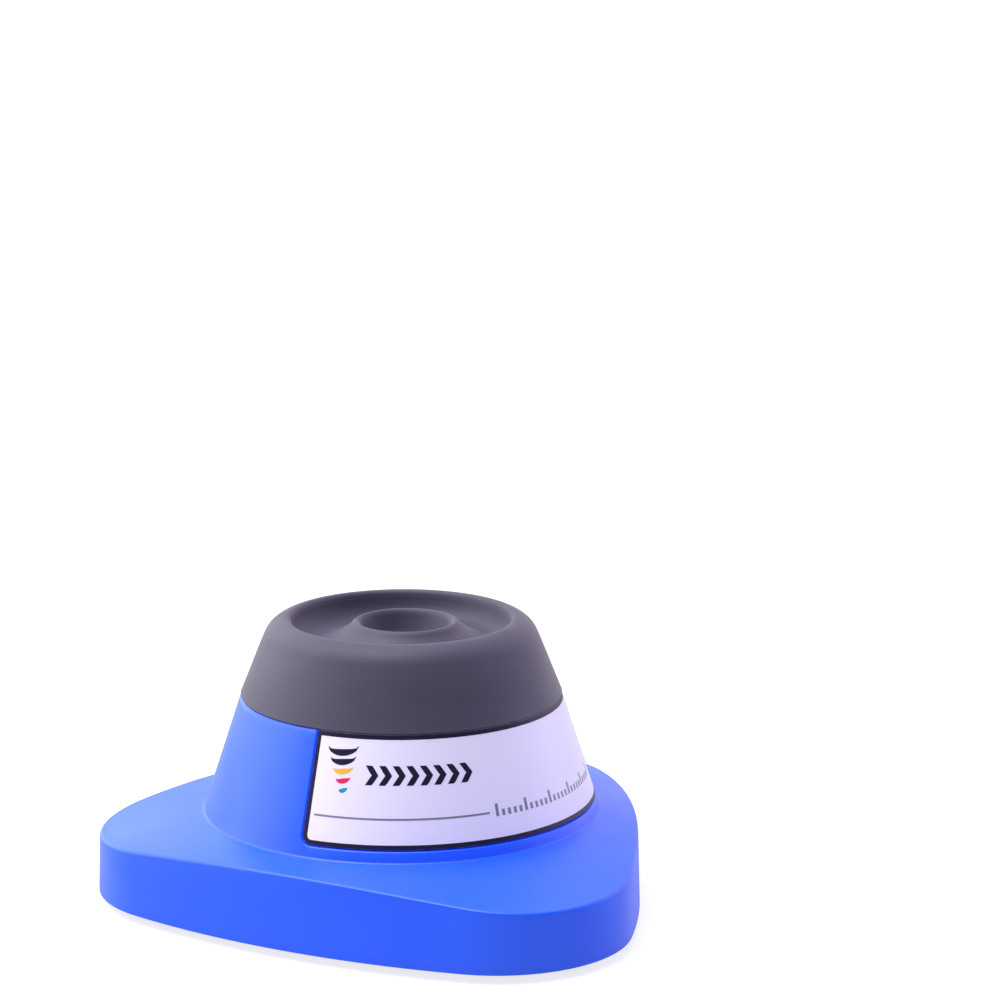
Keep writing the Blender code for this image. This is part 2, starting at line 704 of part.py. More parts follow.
def main():
    blue = finish("blue_shell", (0.03, 0.11, 0.80), 0.38)
    black = finish("black_moulding", (0.03, 0.03, 0.035), 0.55)
    rubber = finish("grey_silicone", (0.075, 0.066, 0.092), 0.62)
    foot_rubber = finish("foot_rubber", (0.02, 0.02, 0.02), 0.8)
    white = finish("white_film", (0.82, 0.80, 0.92), 0.3)
    steel = finish("bright_steel", (0.62, 0.62, 0.64), 0.28, 1.0)
    zinc = finish("zinc_plate", (0.55, 0.57, 0.58), 0.35, 1.0)
    iron = finish("dark_iron", (0.10, 0.10, 0.11), 0.6, 0.6)
    nylon = finish("natural_nylon", (0.80, 0.78, 0.70), 0.5)
    copper = finish("copper", (0.72, 0.30, 0.14), 0.3, 1.0)
    brass = finish("brass", (0.76, 0.58, 0.24), 0.32, 1.0)
    board_green = finish("board_green", (0.02, 0.20, 0.07), 0.4)
    red = finish("red_plastic", (0.62, 0.03, 0.03), 0.4)

    axis = make_frame("motor_axis", 0.0, MOTOR_Y)
    carriage = make_frame("carriage_axis", parent=axis)
    rotor = make_frame("rotor_axis", parent=carriage)
    cup = make_frame("cup_axis", 0.0, -ECCENTRICITY, parent=rotor)
    button = make_frame("button_axis", parent=axis)

    build_housing(axis, blue)
    build_label(axis, white)
    build_base_cover(axis, black)
    build_feet(axis, foot_rubber)
    build_base_screws(axis, steel)
    build_ballast(axis, iron)
    build_posts(axis, steel)
    build_springs(axis, steel)
    build_boot(axis, rubber)
    build_board(axis, board_green, black, steel, white)
    build_switch(axis, button, black, red)
    build_inlet(axis, black, steel)
    build_motor(carriage, zinc, nylon, iron, copper, brass)
    build_mount(carriage, black, steel)
    build_leads(axis, red, black)
    build_rotor(rotor, steel, iron, copper, brass)
    build_cup(cup, rubber, nylon, steel)


clear_scene()
PARTS = make_collection("vortex_mixer")
TOOLS = make_collection("shaping_tools")
main()
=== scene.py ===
"""Looks of a small touch-operated vortex mixer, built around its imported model.

Every length in this file is in metres unless a name says otherwise, and MM turns millimetres
into metres. Azimuth 0 is the front of the mixer, along -Y, and grows towards +X.
"""

import json
import logging
import math
from collections.abc import Callable, Iterable, Sequence
from dataclasses import dataclass, field
from enum import Enum

import bmesh
import bpy
import numpy as np
from mathutils import Matrix, Vector

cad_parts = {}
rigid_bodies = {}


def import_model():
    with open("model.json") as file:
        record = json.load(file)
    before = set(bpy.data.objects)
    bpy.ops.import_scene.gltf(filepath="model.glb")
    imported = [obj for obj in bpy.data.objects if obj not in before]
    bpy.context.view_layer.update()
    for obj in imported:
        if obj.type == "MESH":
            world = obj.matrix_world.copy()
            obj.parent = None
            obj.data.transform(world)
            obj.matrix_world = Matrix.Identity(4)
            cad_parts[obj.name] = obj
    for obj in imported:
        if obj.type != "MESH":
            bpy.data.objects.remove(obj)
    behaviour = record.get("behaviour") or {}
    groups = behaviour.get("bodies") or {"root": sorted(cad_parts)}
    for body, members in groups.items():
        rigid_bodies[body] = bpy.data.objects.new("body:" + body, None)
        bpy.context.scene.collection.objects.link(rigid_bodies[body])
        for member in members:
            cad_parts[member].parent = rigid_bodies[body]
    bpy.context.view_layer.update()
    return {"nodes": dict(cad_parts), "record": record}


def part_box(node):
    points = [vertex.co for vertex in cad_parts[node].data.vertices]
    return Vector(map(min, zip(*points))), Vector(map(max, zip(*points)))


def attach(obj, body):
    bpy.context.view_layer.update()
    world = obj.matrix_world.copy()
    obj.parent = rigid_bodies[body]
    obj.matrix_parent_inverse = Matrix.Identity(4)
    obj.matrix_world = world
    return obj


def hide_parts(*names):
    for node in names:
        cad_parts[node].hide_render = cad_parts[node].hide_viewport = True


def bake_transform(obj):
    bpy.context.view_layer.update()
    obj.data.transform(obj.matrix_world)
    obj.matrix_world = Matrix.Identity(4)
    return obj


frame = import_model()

MM = 0.001
LOG = logging.getLogger("vortex_mixer")

Point2 = tuple[float, float]
Point3 = tuple[float, float, float]
Colour = tuple[float, float, float]
Columns = Sequence[tuple[float, float, float]]
Array = np.ndarray
Piece = bpy.types.Object
Mesh = bpy.types.Mesh
Socket = bpy.types.NodeSocket

MERGE_GAP = 1e-7
SHORTEST_EDGE = 1e-8


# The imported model: where things are --------------------


def joint_facts(name: str) -> dict:
    """Returns the record's entry for the joint of this name."""
    joints = frame["record"]["behaviour"]["joints"]
    return next(joint for joint in joints if joint["name"] == name)


def node_box(name: str) -> tuple[Vector, Vector]:
    """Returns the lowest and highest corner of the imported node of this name."""
    low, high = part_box(name)
    return Vector(low), Vector(high)


def centre_of(name: str) -> Vector:
    """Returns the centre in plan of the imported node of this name."""
    low, high = node_box(name)
    return ((low + high) / 2).xy


class Body(Enum):
    """The rigid bodies of the mixer."""

    BASE = "base"
    CARRIAGE = "carriage"
    ROTOR = "rotor"
    CUP = "orbiting_cup"
    BUTTON = "button"


SCREW_NODES = ("base_screw_front", "base_screw_rear_left", "base_screw_rear_right")
FOOT_NODES = ("foot_front", "foot_rear_left", "foot_rear_right")
SPRING_NODES = ("spring_front", "spring_left", "spring_right")
MOTOR_AXIS = Vector(joint_facts("spin")["pos_m"]).xy
PIN_AXIS = Vector(joint_facts("orbit")["pos_m"]).xy


# Mesh making --------------------


def polar(radius: float, azimuth: float, z: float = 0.0, centre: Vector = MOTOR_AXIS) -> Point3:
    """Returns the point at a radius, an azimuth and a height about the vertical axis at centre."""
    return (centre.x + radius * math.sin(azimuth), centre.y - radius * math.cos(azimuth), z)


def link_object(name: str, data: bpy.types.ID) -> Piece:
    """Returns a new object in the scene that holds a mesh, a light or a camera."""
    obj = bpy.data.objects.new(name, data)
    bpy.context.scene.collection.objects.link(obj)
    return obj


def new_object(name: str, mesh: Mesh, finish: "Finish") -> Piece:
    """Returns a new object at the origin that holds a mesh, already in place, in one finish."""
    mesh.materials.clear()
    mesh.materials.append(finish.material())
    return link_object(name, mesh)


def shade(mesh: Mesh, sharp_deg: float = 35.0) -> None:
    """Shades a mesh smooth, keeping edges over an angle in degrees sharp."""
    mesh.shade_smooth()
    mesh.set_sharp_from_angle(angle=math.radians(sharp_deg))


def mend(mesh: Mesh, shortest: float = 0.0) -> None:
    """Merges a mesh's doubles and turns its faces outwards.

    Args:
        mesh: the mesh.
        shortest: edges shorter than this are dissolved, and 0 leaves them.
    """
    bm = bmesh.new()
    bm.from_mesh(mesh)
    bmesh.ops.remove_doubles(bm, verts=bm.verts, dist=MERGE_GAP)
    if shortest:
        bmesh.ops.dissolve_degenerate(bm, dist=shortest, edges=bm.edges)
    bmesh.ops.recalc_face_normals(bm, faces=bm.faces)
    bm.to_mesh(mesh)
    bm.free()


def mesh_of(
    name: str, points: Iterable[Point3], faces: Iterable[Sequence[int]], sharp_deg: float = 35.0
) -> Mesh:
    """Makes a closed mesh with its faces turned outwards.

    Args:
        name: the mesh's name.
        points: its corners.
        faces: its faces, as corner numbers.
        sharp_deg: edges over this angle stay sharp.

    Returns:
        The mesh.
    """
    mesh = bpy.data.meshes.new(name)
    mesh.from_pydata([tuple(p) for p in points], [], [tuple(f) for f in faces])
    mend(mesh, SHORTEST_EDGE)
    shade(mesh, sharp_deg)
    return mesh


def grid_faces(rows: int, columns: int, wrap_rows: bool, wrap_columns: bool) -> list[tuple[int, ...]]:
    """Returns the quads of a grid of points numbered row by row.

    Args:
        rows: how many rows.
        columns: how many points in each.
        wrap_rows: the last row joins the first.
        wrap_columns: the last column joins the first.
    """
    faces = []
    for i in range(rows if wrap_rows else rows - 1):
        for j in range(columns if wrap_columns else columns - 1):
            a, b = i * columns + j, i * columns + (j + 1) % columns
            below = (i + 1) % rows * columns
            faces.append((a, b, below + (j + 1) % columns, below + j))
    return faces


def rounded(corners: Sequence[tuple[float, float, float]], steps: int) -> list[Point2]:
    """Rounds a closed profile's corners.

    Args:
        corners: (radius, height, fillet radius) of each corner.
        steps: points on each fillet, less one.

    Returns:
        The profile with an arc at each corner that has a fillet.
    """
    count = len(corners)
    points: list[Point2] = []
    for index, (x, y, fillet) in enumerate(corners):
        at = Vector((x, y))
        if fillet <= 0:
            points.append((x, y))
            continue
        before = Vector(corners[index - 1][:2]) - at
        after = Vector(corners[(index + 1) % count][:2]) - at
        angle = before.angle(after)
        run = min(fillet / math.tan(angle / 2), 0.49 * before.length, 0.49 * after.length)
        radius = run * math.tan(angle / 2)
        middle = (before.normalized() + after.normalized()).normalized()
        centre = at + middle * radius / math.sin(angle / 2)
        start = at + before.normalized() * run - centre
        end = at + after.normalized() * run - centre
        sweep = start.angle_signed(end)
        for i in range(steps + 1):
            turn = Matrix.Rotation(-sweep * i / steps, 2)
            points.append(tuple(centre + turn @ start))
    return points


def lathe(
    name: str,
    profile: Sequence[Point2],
    finish: "Finish",
    centre: Vector = MOTOR_AXIS,
    segments: int = 96,
    sharp_deg: float = 35.0,
) -> Piece:
    """Returns a closed profile turned about a vertical axis.

    Args:
        name: the piece's name.
        profile: (radius, height) points; those on the axis close the shape there.
        finish: what it's made of.
        centre: the axis's place in plan.
        segments: steps round the axis.
        sharp_deg: edges over this angle stay sharp.
    """
    angles = [2 * math.pi * j / segments for j in range(segments)]
    points = [polar(r, a, z, centre) for r, z in profile for a in angles]
    faces = grid_faces(len(profile), segments, True, True)
    return new_object(name, mesh_of(name, points, faces, sharp_deg), finish)


def join(obj: Piece, other: Piece) -> Piece:
    """Returns a piece with another one's mesh added, as loose bodies of one mesh.

    Args:
        obj: the piece.
        other: the piece that's used up.
    """
    bm = bmesh.new()
    bm.from_mesh(obj.data)
    bm.from_mesh(other.data)
    bm.to_mesh(obj.data)
    bm.free()
    bpy.data.objects.remove(other, do_unlink=True)
    return obj


def carve(obj: Piece, bm: bmesh.types.BMesh) -> None:
    """Cuts a shape out of a piece.

    Args:
        obj: the piece.
        bm: the shape to remove, which is used up.
    """
    mesh = bpy.data.meshes.new("cutter")
    bm.to_mesh(mesh)
    bm.free()
    cutter = link_object("cutter", mesh)
    modifier = obj.modifiers.new("Carve", "BOOLEAN")
    modifier.object = cutter
    modifier.operation = "DIFFERENCE"
    bake_modifiers(obj)
    bpy.data.objects.remove(cutter, do_unlink=True)


def bake_modifiers(obj: Piece) -> None:
    """Replaces a piece's mesh with its evaluated one and clears its modifiers.

    Args:
        obj: the piece.
    """
    graph = bpy.context.evaluated_depsgraph_get()
    graph.update()
    mesh = bpy.data.meshes.new_from_object(obj.evaluated_get(graph))
    obj.modifiers.clear()
    obj.data = mesh


def tube(name: str, path: Sequence[Point3], radius: float, finish: "Finish", sides: int) -> Piece:
    """Returns a round rod with closed ends along a path.

    Args:
        name: the piece's name.
        path: the points that its centre follows.
        radius: its radius.
        finish: what it's made of.
        sides: how many sides it has.
    """
    spots = [Vector(p) for p in path]
    tangents = [(b - a).normalized() for a, b in zip([spots[0], *spots], [*spots[1:], spots[-1]], strict=False)]
    tangents[-1] = (spots[-1] - spots[-2]).normalized()
    tangents[0] = (spots[1] - spots[0]).normalized()
    side = tangents[0].orthogonal().normalized()
    points: list[Point3] = []
    for spot, tangent in zip(spots, tangents, strict=True):
        side = (side - tangent * side.dot(tangent)).normalized()
        up = tangent.cross(side)
        for k in range(sides):
            a = 2 * math.pi * k / sides
            points.append(tuple(spot + radius * (math.cos(a) * side + math.sin(a) * up)))
    faces = grid_faces(len(spots), sides, False, True)
    faces.append(tuple(range(sides)))
    faces.append(tuple(range(len(points) - sides, len(points))))
    return new_object(name, mesh_of(name, points, faces, 50), finish)


def spline_through(knots: Sequence[Point3], per_span: int = 8) -> list[Point3]:
    """Returns points on a Catmull-Rom curve.

    Args:
        knots: the points that the curve passes through.
        per_span: points between two knots.
    """
    ends = [Vector(p) for p in (knots[0], *knots, knots[-1])]
    points: list[Point3] = []
    for a, b, c, d in zip(ends, ends[1:], ends[2:], ends[3:], strict=False):
        for i in range(per_span):
            t = i / per_span
            cubic = (a - 2.5 * b + 2 * c - 0.5 * d) * t * t + (1.5 * (b - c) + 0.5 * (d - a)) * t**3
            points.append(tuple(b + 0.5 * (c - a) * t + cubic))
    return [*points, tuple(knots[-1])]


# Shader building blocks --------------------


class ShaderSheet:
    """A shader node tree under construction."""

    def __init__(self, tree: bpy.types.NodeTree) -> None:
        """Takes the tree to add nodes to."""
        self.tree = tree

    def add(self, kind: str, **settings: object) -> bpy.types.Node:
        """Adds a node.

        Args:
            kind: the node's type, without the ShaderNode prefix.
            **settings: its properties.

        Returns:
            The node.
        """
        node = self.tree.nodes.new("ShaderNode" + kind)
        for key, value in settings.items():
            setattr(node, key, value)
        return node

    def link(self, source: Socket, target: Socket) -> None:
        """Joins two sockets."""
        self.tree.links.new(source, target)

    def feed(self, target: Socket, value: object) -> None:
        """Links an input socket to another socket or sets it to a plain value."""
        if isinstance(value, Socket):
            self.link(value, target)
        else:
            target.default_value = value

    @staticmethod
    def preset(inputs: bpy.types.NodeInputs, **values: object) -> None:
        """Sets input sockets to plain values, with spaces in their names written as _."""
        for key, value in values.items():
            inputs[key.replace("_", " ")].default_value = value

    def math(self, operation: str, a: object, b: object = 0.0, clamp: bool = False) -> Socket:
        """Returns the result of a Math node.

        Args:
            operation: its operation.
            a: the first value or socket.
            b: the second value or socket.
            clamp: whether the result stays within 0 and 1.
        """
        node = self.add("Math", operation=operation, use_clamp=clamp)
        self.feed(node.inputs[0], a)
        self.feed(node.inputs[1], b)
        return node.outputs[0]

    def noise(
        self, scale: object, detail: float = 3.0, roughness: float = 0.55, stretch: Point3 = (1, 1, 1)
    ) -> Socket:
        """Returns a noise value on object coordinates.

        Args:
            scale: waves a metre, or a socket.
            detail: octaves.
            roughness: how strong the fine octaves are.
            stretch: scale along each axis.
        """
        where = self.add("TexCoord").outputs["Object"]
        if tuple(stretch) != (1, 1, 1):
            mapping = self.add("Mapping")
            mapping.inputs["Scale"].default_value = stretch
            self.link(where, mapping.inputs["Vector"])
            where = mapping.outputs["Vector"]
        node = self.add("TexNoise")
        self.preset(node.inputs, Detail=detail, Roughness=roughness)
        self.link(where, node.inputs["Vector"])
        self.feed(node.inputs["Scale"], scale)
        return node.outputs["Fac"]

    def spread(
        self, value: object, low: float, high: float, to_low: float = 0.0, to_high: float = 1.0
    ) -> Socket:
        """Returns a value mapped from one range to another, clamped.

        Args:
            value: the socket to map.
            low: its lowest value.
            high: its highest value.
            to_low: what low becomes.
            to_high: what high becomes.
        """
        node = self.add("MapRange")
        self.feed(node.inputs["Value"], value)
        self.preset(node.inputs, From_Min=low, From_Max=high, To_Min=to_low, To_Max=to_high)
        return node.outputs["Result"]

    def mix(self, factor: object, a: object, b: object) -> Socket:
        """Returns a mix of two colours.

        Args:
            factor: how much of b there is.
            a: the first colour or socket.
            b: the second colour or socket.
        """
        node = self.add("Mix", data_type="RGBA")
        self.feed(node.inputs["Factor"], factor)
        for socket, colour in ((node.inputs[6], a), (node.inputs[7], b)):
            self.feed(socket, (*colour, 1.0) if isinstance(colour, tuple) and len(colour) == 3 else colour)
        return node.outputs[2]


class EffectGroup:
    """A shader node group that several finishes share."""

    def __init__(
        self,
        name: str,
        inputs: dict[str, float],
        outputs: Sequence[str],
        build: Callable[[ShaderSheet, dict, dict], None],
    ) -> None:
        """Builds the group.

        Args:
            name: its name.
            inputs: name and default of each number that it takes.
            outputs: name of each number that it gives.
            build: fills the sheet from its input sockets and feeds its output sockets.
        """
        self.tree = bpy.data.node_groups.new(name, "ShaderNodeTree")
        for key, default in inputs.items():
            socket = self.tree.interface.new_socket(key, in_out="INPUT", socket_type="NodeSocketFloat")
            socket.default_value = default
        for key in outputs:
            self.tree.interface.new_socket(key, in_out="OUTPUT", socket_type="NodeSocketFloat")
        entry = self.tree.nodes.new("NodeGroupInput")
        leave = self.tree.nodes.new("NodeGroupOutput")
        build(ShaderSheet(self.tree), entry.outputs, leave.inputs)

    def place(self, sheet: ShaderSheet, **values: float) -> bpy.types.NodeOutputs:
        """Puts the group into a material.

        Args:
            sheet: the material's sheet.
            **values: the group's input values, with spaces in their names written as _.

        Returns:
            The group node's outputs.
        """
        node = sheet.add("Group")
        node.node_tree = self.tree
        sheet.preset(node.inputs, **values)
        return node.outputs


def build_edge_wear(sheet: ShaderSheet, given: dict, out: dict) -> None:
    """Fills the edge wear group: a mask that is 1 on outer edges, broken up by noise."""
    point = sheet.add("NewGeometry").outputs["Pointiness"]
    edge = sheet.math("SUBTRACT", point, given["Threshold"])
    edge = sheet.math("MULTIPLY", edge, given["Gain"], clamp=True)
    patch = sheet.spread(sheet.noise(given["Patch Scale"], 4), 0.38, 0.66)
    sheet.link(sheet.math("MULTIPLY", edge, patch), out["Mask"])


def build_grain(sheet: ShaderSheet, given: dict, out: dict) -> None:
    """Fills the moulded grain group: a fine even texture and a slow mottle."""
    fine = sheet.noise(given["Grain Scale"], 2, 0.6)
    slow = sheet.noise(given["Mottle Scale"], 3, 0.5)
    sheet.link(fine, out["Height"])
    sheet.link(slow, out["Mottle"])


def build_dust(sheet: ShaderSheet, given: dict, out: dict) -> None:
    """Fills the dust group: fine specks on faces that look up."""
    normal = sheet.add("NewGeometry").outputs["Normal"]
    split = sheet.add("SeparateXYZ")
    sheet.link(normal, split.inputs[0])
    up = sheet.spread(split.outputs["Z"], 0.15, 1.0)
    cells = sheet.add("TexVoronoi", feature="F1")
    sheet.link(sheet.add("TexCoord").outputs["Object"], cells.inputs["Vector"])
    sheet.link(given["Speck Scale"], cells.inputs["Scale"])
    speck = sheet.spread(cells.outputs["Distance"], 0.16, 0.05)
    picked = sheet.spread(sheet.noise(given["Patch Scale"], 2), 0.52, 0.72)
    mask = sheet.math("MULTIPLY", sheet.math("MULTIPLY", speck, picked), up)
    sheet.link(sheet.math("MULTIPLY", mask, given["Amount"]), out["Mask"])


EDGE_WEAR = EffectGroup(
    "edge_wear", {"Threshold": 0.52, "Gain": 12.0, "Patch Scale": 180.0}, ["Mask"], build_edge_wear
)
GRAIN = EffectGroup(
    "moulded_grain", {"Grain Scale": 2600.0, "Mottle Scale": 40.0}, ["Height", "Mottle"], build_grain
)
DUST = EffectGroup("dust", {"Speck Scale": 900.0, "Patch Scale": 120.0, "Amount": 1.0}, ["Mask"], build_dust)

DUST_TINT = (0.62, 0.62, 0.66)
LINT_TINT = (0.45, 0.43, 0.48)
RUBBED_RUBBER = (0.22, 0.20, 0.25)
GLASS_WEAVE = (0.1, 0.16, 0.06)


def brighter(colour: Colour, gain: float) -> Colour:
    """Returns a colour times a gain, kept within 1."""
    return tuple(min(1.0, c * gain) for c in colour)


@dataclass(frozen=True)
class Finish:
    """A finish with one Principled shader.

    Attributes:
        name: the material's name.
        slot: the record's material slot that it belongs to.
        colour: its main colour.
        roughness: its middle roughness.
    """

    name: str
    slot: str
    colour: Colour
    roughness: float = 0.5

    def material(self) -> bpy.types.Material:
        """Returns the material, built the first time it's asked for."""
        found = bpy.data.materials.get(self.name)
        if found:
            return found
        material = bpy.data.materials.new(self.name)
        material.use_nodes = True
        tree = material.node_tree
        self.build(ShaderSheet(tree), tree.nodes["Principled BSDF"].inputs)
        return material

    def build(self, sheet: ShaderSheet, shader: bpy.types.NodeInputs) -> None:
        """Feeds the shader. Each kind of finish does it in its own way."""
        raise NotImplementedError

    def dress(self, obj: Piece) -> None:
        """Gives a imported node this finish."""
        for slot in obj.material_slots:
            slot.material = self.material()

    @staticmethod
    def bump(sheet: ShaderSheet, height: object, strength: float, distance: float) -> Socket:
        """Returns a bumped normal.

        Args:
            sheet: the material's sheet.
            height: the height's socket.
            strength: how much of it shows.
            distance: its depth in metres.
        """
        node = sheet.add("Bump")
        sheet.preset(node.inputs, Strength=strength, Distance=distance)
        sheet.feed(node.inputs["Height"], height)
        return node.outputs["Normal"]


@dataclass(frozen=True)
class MouldedPlastic(Finish):
    """Injection-moulded plastic with a fine spark-eroded grain, slight mottle and rubbed edges.

    Attributes:
        shade: the colour in the darker patches of the mottle.
        worn: the colour of rubbed edges.
        grain_depth: depth of the grain in metres.
        grain_scale: grains a metre.
        wear: how much the edges show it.
        dust: how much dust lies on top.
        coat: clear gloss over it.
        gloss: level of its reflections, 0.5 being ordinary plastic.
    """

    shade: Colour = (0.0, 0.0, 0.0)
    worn: Colour = (0.5, 0.5, 0.5)
    grain_depth: float = 0.00002
    grain_scale: float = 2600.0
    wear: float = 0.25
    dust: float = 0.15
    coat: float = 0.0
    gloss: float = 0.5

    def build(self, sheet: ShaderSheet, shader: bpy.types.NodeInputs) -> None:
        """Feeds colour, roughness and normal from grain, wear and dust."""
        grain = GRAIN.place(sheet, Grain_Scale=self.grain_scale, Mottle_Scale=38.0)
        wear = sheet.math("MULTIPLY", EDGE_WEAR.place(sheet)["Mask"], self.wear)
        dust = DUST.place(sheet, Amount=self.dust)["Mask"]
        body = sheet.mix(sheet.spread(grain["Mottle"], 0.35, 0.65), self.colour, self.shade)
        body = sheet.mix(wear, body, self.worn)
        body = sheet.mix(dust, body, DUST_TINT)
        sheet.link(body, shader["Base Color"])
        rough = sheet.spread(grain["Mottle"], 0.3, 0.7, self.roughness - 0.035, self.roughness + 0.035)
        rough = sheet.math("ADD", rough, sheet.math("MULTIPLY", dust, 0.3), clamp=True)
        sheet.link(rough, shader["Roughness"])
        sheet.link(self.bump(sheet, grain["Height"], 0.6, self.grain_depth), shader["Normal"])
        sheet.preset(shader, Coat_Weight=self.coat, Coat_Roughness=0.2, Specular_IOR_Level=self.gloss)


@dataclass(frozen=True)
class SoftRubber(Finish):
    """Silicone or rubber: dull, with a soft bloom at grazing angles, flow marks and lint.

    Attributes:
        bloom: the colour in paler patches.
        lint: how much lint shows.
        sheen: strength of the bloom at grazing angles.
    """

    bloom: Colour = (0.1, 0.1, 0.1)
    lint: float = 0.35
    sheen: float = 0.12

    def build(self, sheet: ShaderSheet, shader: bpy.types.NodeInputs) -> None:
        """Feeds colour, roughness and normal from flow marks, grain and lint."""
        grain = GRAIN.place(sheet, Grain_Scale=3400.0, Mottle_Scale=55.0)
        lint = DUST.place(sheet, Speck_Scale=700.0, Amount=self.lint)["Mask"]
        wear = sheet.math("MULTIPLY", EDGE_WEAR.place(sheet, Gain=8.0)["Mask"], 0.16)
        flow = sheet.noise(26.0, 4, 0.5, stretch=(1, 1, 3))
        body = sheet.mix(sheet.spread(flow, 0.35, 0.7), self.colour, self.bloom)
        body = sheet.mix(wear, body, RUBBED_RUBBER)
        body = sheet.mix(lint, body, LINT_TINT)
        sheet.link(body, shader["Base Color"])
        rough = sheet.spread(grain["Mottle"], 0.3, 0.7, self.roughness - 0.05, self.roughness + 0.06)
        sheet.link(rough, shader["Roughness"])
        height = sheet.math("ADD", grain["Height"], sheet.math("MULTIPLY", flow, 0.6))
        sheet.link(self.bump(sheet, height, 0.5, 0.00003), shader["Normal"])
        sheet.preset(shader, Sheen_Weight=self.sheen, Sheen_Roughness=0.4, Specular_IOR_Level=0.5)


@dataclass(frozen=True)
class PrintedFilm(Finish):
    """Ink or plastic film under a clear satin layer, with a fibre-fine unevenness.

    Attributes:
        tint: the colour that it drifts towards.
        coat: weight of the clear layer.
    """

    tint: Colour = (0.8, 0.8, 0.8)
    coat: float = 0.35

    def build(self, sheet: ShaderSheet, shader: bpy.types.NodeInputs) -> None:
        """Feeds colour and roughness from a slow drift and a fine grain."""
        grain = GRAIN.place(sheet, Grain_Scale=5200.0, Mottle_Scale=22.0)
        body = sheet.mix(sheet.spread(grain["Mottle"], 0.3, 0.7), self.colour, self.tint)
        sheet.link(body, shader["Base Color"])
        rough = sheet.spread(grain["Height"], 0.3, 0.7, self.roughness - 0.04, self.roughness + 0.04)
        sheet.link(rough, shader["Roughness"])
        sheet.link(self.bump(sheet, grain["Height"], 0.25, 0.00001), shader["Normal"])
        sheet.preset(shader, Coat_Weight=self.coat, Coat_Roughness=0.12, Specular_IOR_Level=0.25)


@dataclass(frozen=True)
class MachinedMetal(Finish):
    """Turned, drawn or plated metal with fine tool marks round its axis and stained patches.

    Attributes:
        stain: the colour of tarnished patches.
        marks: how strongly the tool marks show.
        mark_stretch: noise scale along each axis, which sets the marks' direction.
        metallic: how metallic the clean surface is.
    """

    stain: Colour = (0.3, 0.3, 0.3)
    marks: float = 0.5
    mark_stretch: Point3 = (1.0, 1.0, 18.0)
    metallic: float = 1.0

    def build(self, sheet: ShaderSheet, shader: bpy.types.NodeInputs) -> None:
        """Feeds colour, metallic, roughness and normal from tool marks and stains."""
        marks = sheet.noise(520.0, 2, 0.5, stretch=self.mark_stretch)
        patch = sheet.spread(sheet.noise(160.0, 4, 0.6), 0.45, 0.75)
        wear = EDGE_WEAR.place(sheet, Gain=10.0)["Mask"]
        body = sheet.mix(sheet.math("MULTIPLY", patch, 0.6), self.colour, self.stain)
        body = sheet.mix(sheet.math("MULTIPLY", wear, 0.5), body, brighter(self.colour, 1.25))
        sheet.link(body, shader["Base Color"])
        sheet.link(sheet.spread(patch, 0, 1, self.metallic, self.metallic * 0.85), shader["Metallic"])
        rough = sheet.spread(marks, 0.3, 0.7, self.roughness - 0.06, self.roughness + 0.08)
        rough = sheet.math("ADD", rough, sheet.math("MULTIPLY", patch, 0.12), clamp=True)
        sheet.link(rough, shader["Roughness"])
        sheet.link(self.bump(sheet, marks, self.marks, 0.00002), shader["Normal"])


@dataclass(frozen=True)
class SolderMask(Finish):
    """A circuit board: green lacquer over copper tracks, with its glass weave just showing."""

    def build(self, sheet: ShaderSheet, shader: bpy.types.NodeInputs) -> None:
        """Feeds colour, roughness and normal from a track pattern and the weave."""
        where = sheet.add("TexCoord").outputs["Object"]
        tracks = sheet.add("TexBrick")
        sheet.link(where, tracks.inputs["Vector"])
        sheet.preset(tracks.inputs, Scale=210.0, Mortar_Size=0.05, Mortar_Smooth=0.2, Brick_Width=1.4)
        line = tracks.outputs["Fac"]
        weave = sheet.noise(1800.0, 1, 0.4, stretch=(1, 6, 1))
        body = sheet.mix(line, self.colour, brighter(self.colour, 1.9))
        body = sheet.mix(sheet.spread(weave, 0.4, 0.7, 0, 0.25), body, GLASS_WEAVE)
        sheet.link(body, shader["Base Color"])
        sheet.link(sheet.spread(weave, 0.3, 0.7, self.roughness, self.roughness + 0.12), shader["Roughness"])
        sheet.link(self.bump(sheet, line, 0.5, 0.00003), shader["Normal"])
        shader["Coat Weight"].default_value = 0.3


BLUE_SHELL = MouldedPlastic(
    "satin_blue", "blue_shell", (0.004, 0.096, 1.0), 0.40,
    shade=(0.002, 0.086, 0.96), worn=(0.08, 0.25, 1.0), wear=0.2, dust=0.06,
)
BLACK_MOULDING = MouldedPlastic(
    "moulded_black", "black_moulding", (0.026, 0.026, 0.030), 0.55,
    shade=(0.018, 0.018, 0.021), worn=(0.11, 0.11, 0.12), wear=0.4,
)
NYLON = MouldedPlastic(
    "natural_nylon", "nylon", (0.74, 0.71, 0.62), 0.48, shade=(0.66, 0.62, 0.52), worn=(0.85, 0.83, 0.76)
)
RED_PLASTIC = MouldedPlastic(
    "red_moulding", "red_plastic", (0.60, 0.025, 0.02), 0.42, shade=(0.5, 0.02, 0.018), worn=(0.8, 0.2, 0.16)
)
LEAD_BLACK = MouldedPlastic(
    "black_insulation", "black_plastic", (0.02, 0.02, 0.022), 0.4, shade=(0.014, 0.014, 0.016), worn=(0.1, 0.1, 0.1)
)
BOOT_RUBBER = SoftRubber("soft_grey_silicone", "grey_silicone", (0.040, 0.034, 0.070), 0.6, bloom=(0.054, 0.047, 0.088))
FOOT_RUBBER = SoftRubber(
    "black_foot_rubber", "foot_rubber", (0.016, 0.016, 0.017), 0.75, bloom=(0.026, 0.026, 0.027), sheen=0.1
)
LABEL_WHITE = PrintedFilm("label_white", "label_film", (0.79, 0.74, 0.99), 0.36, tint=(0.83, 0.78, 1.0), coat=0.15)
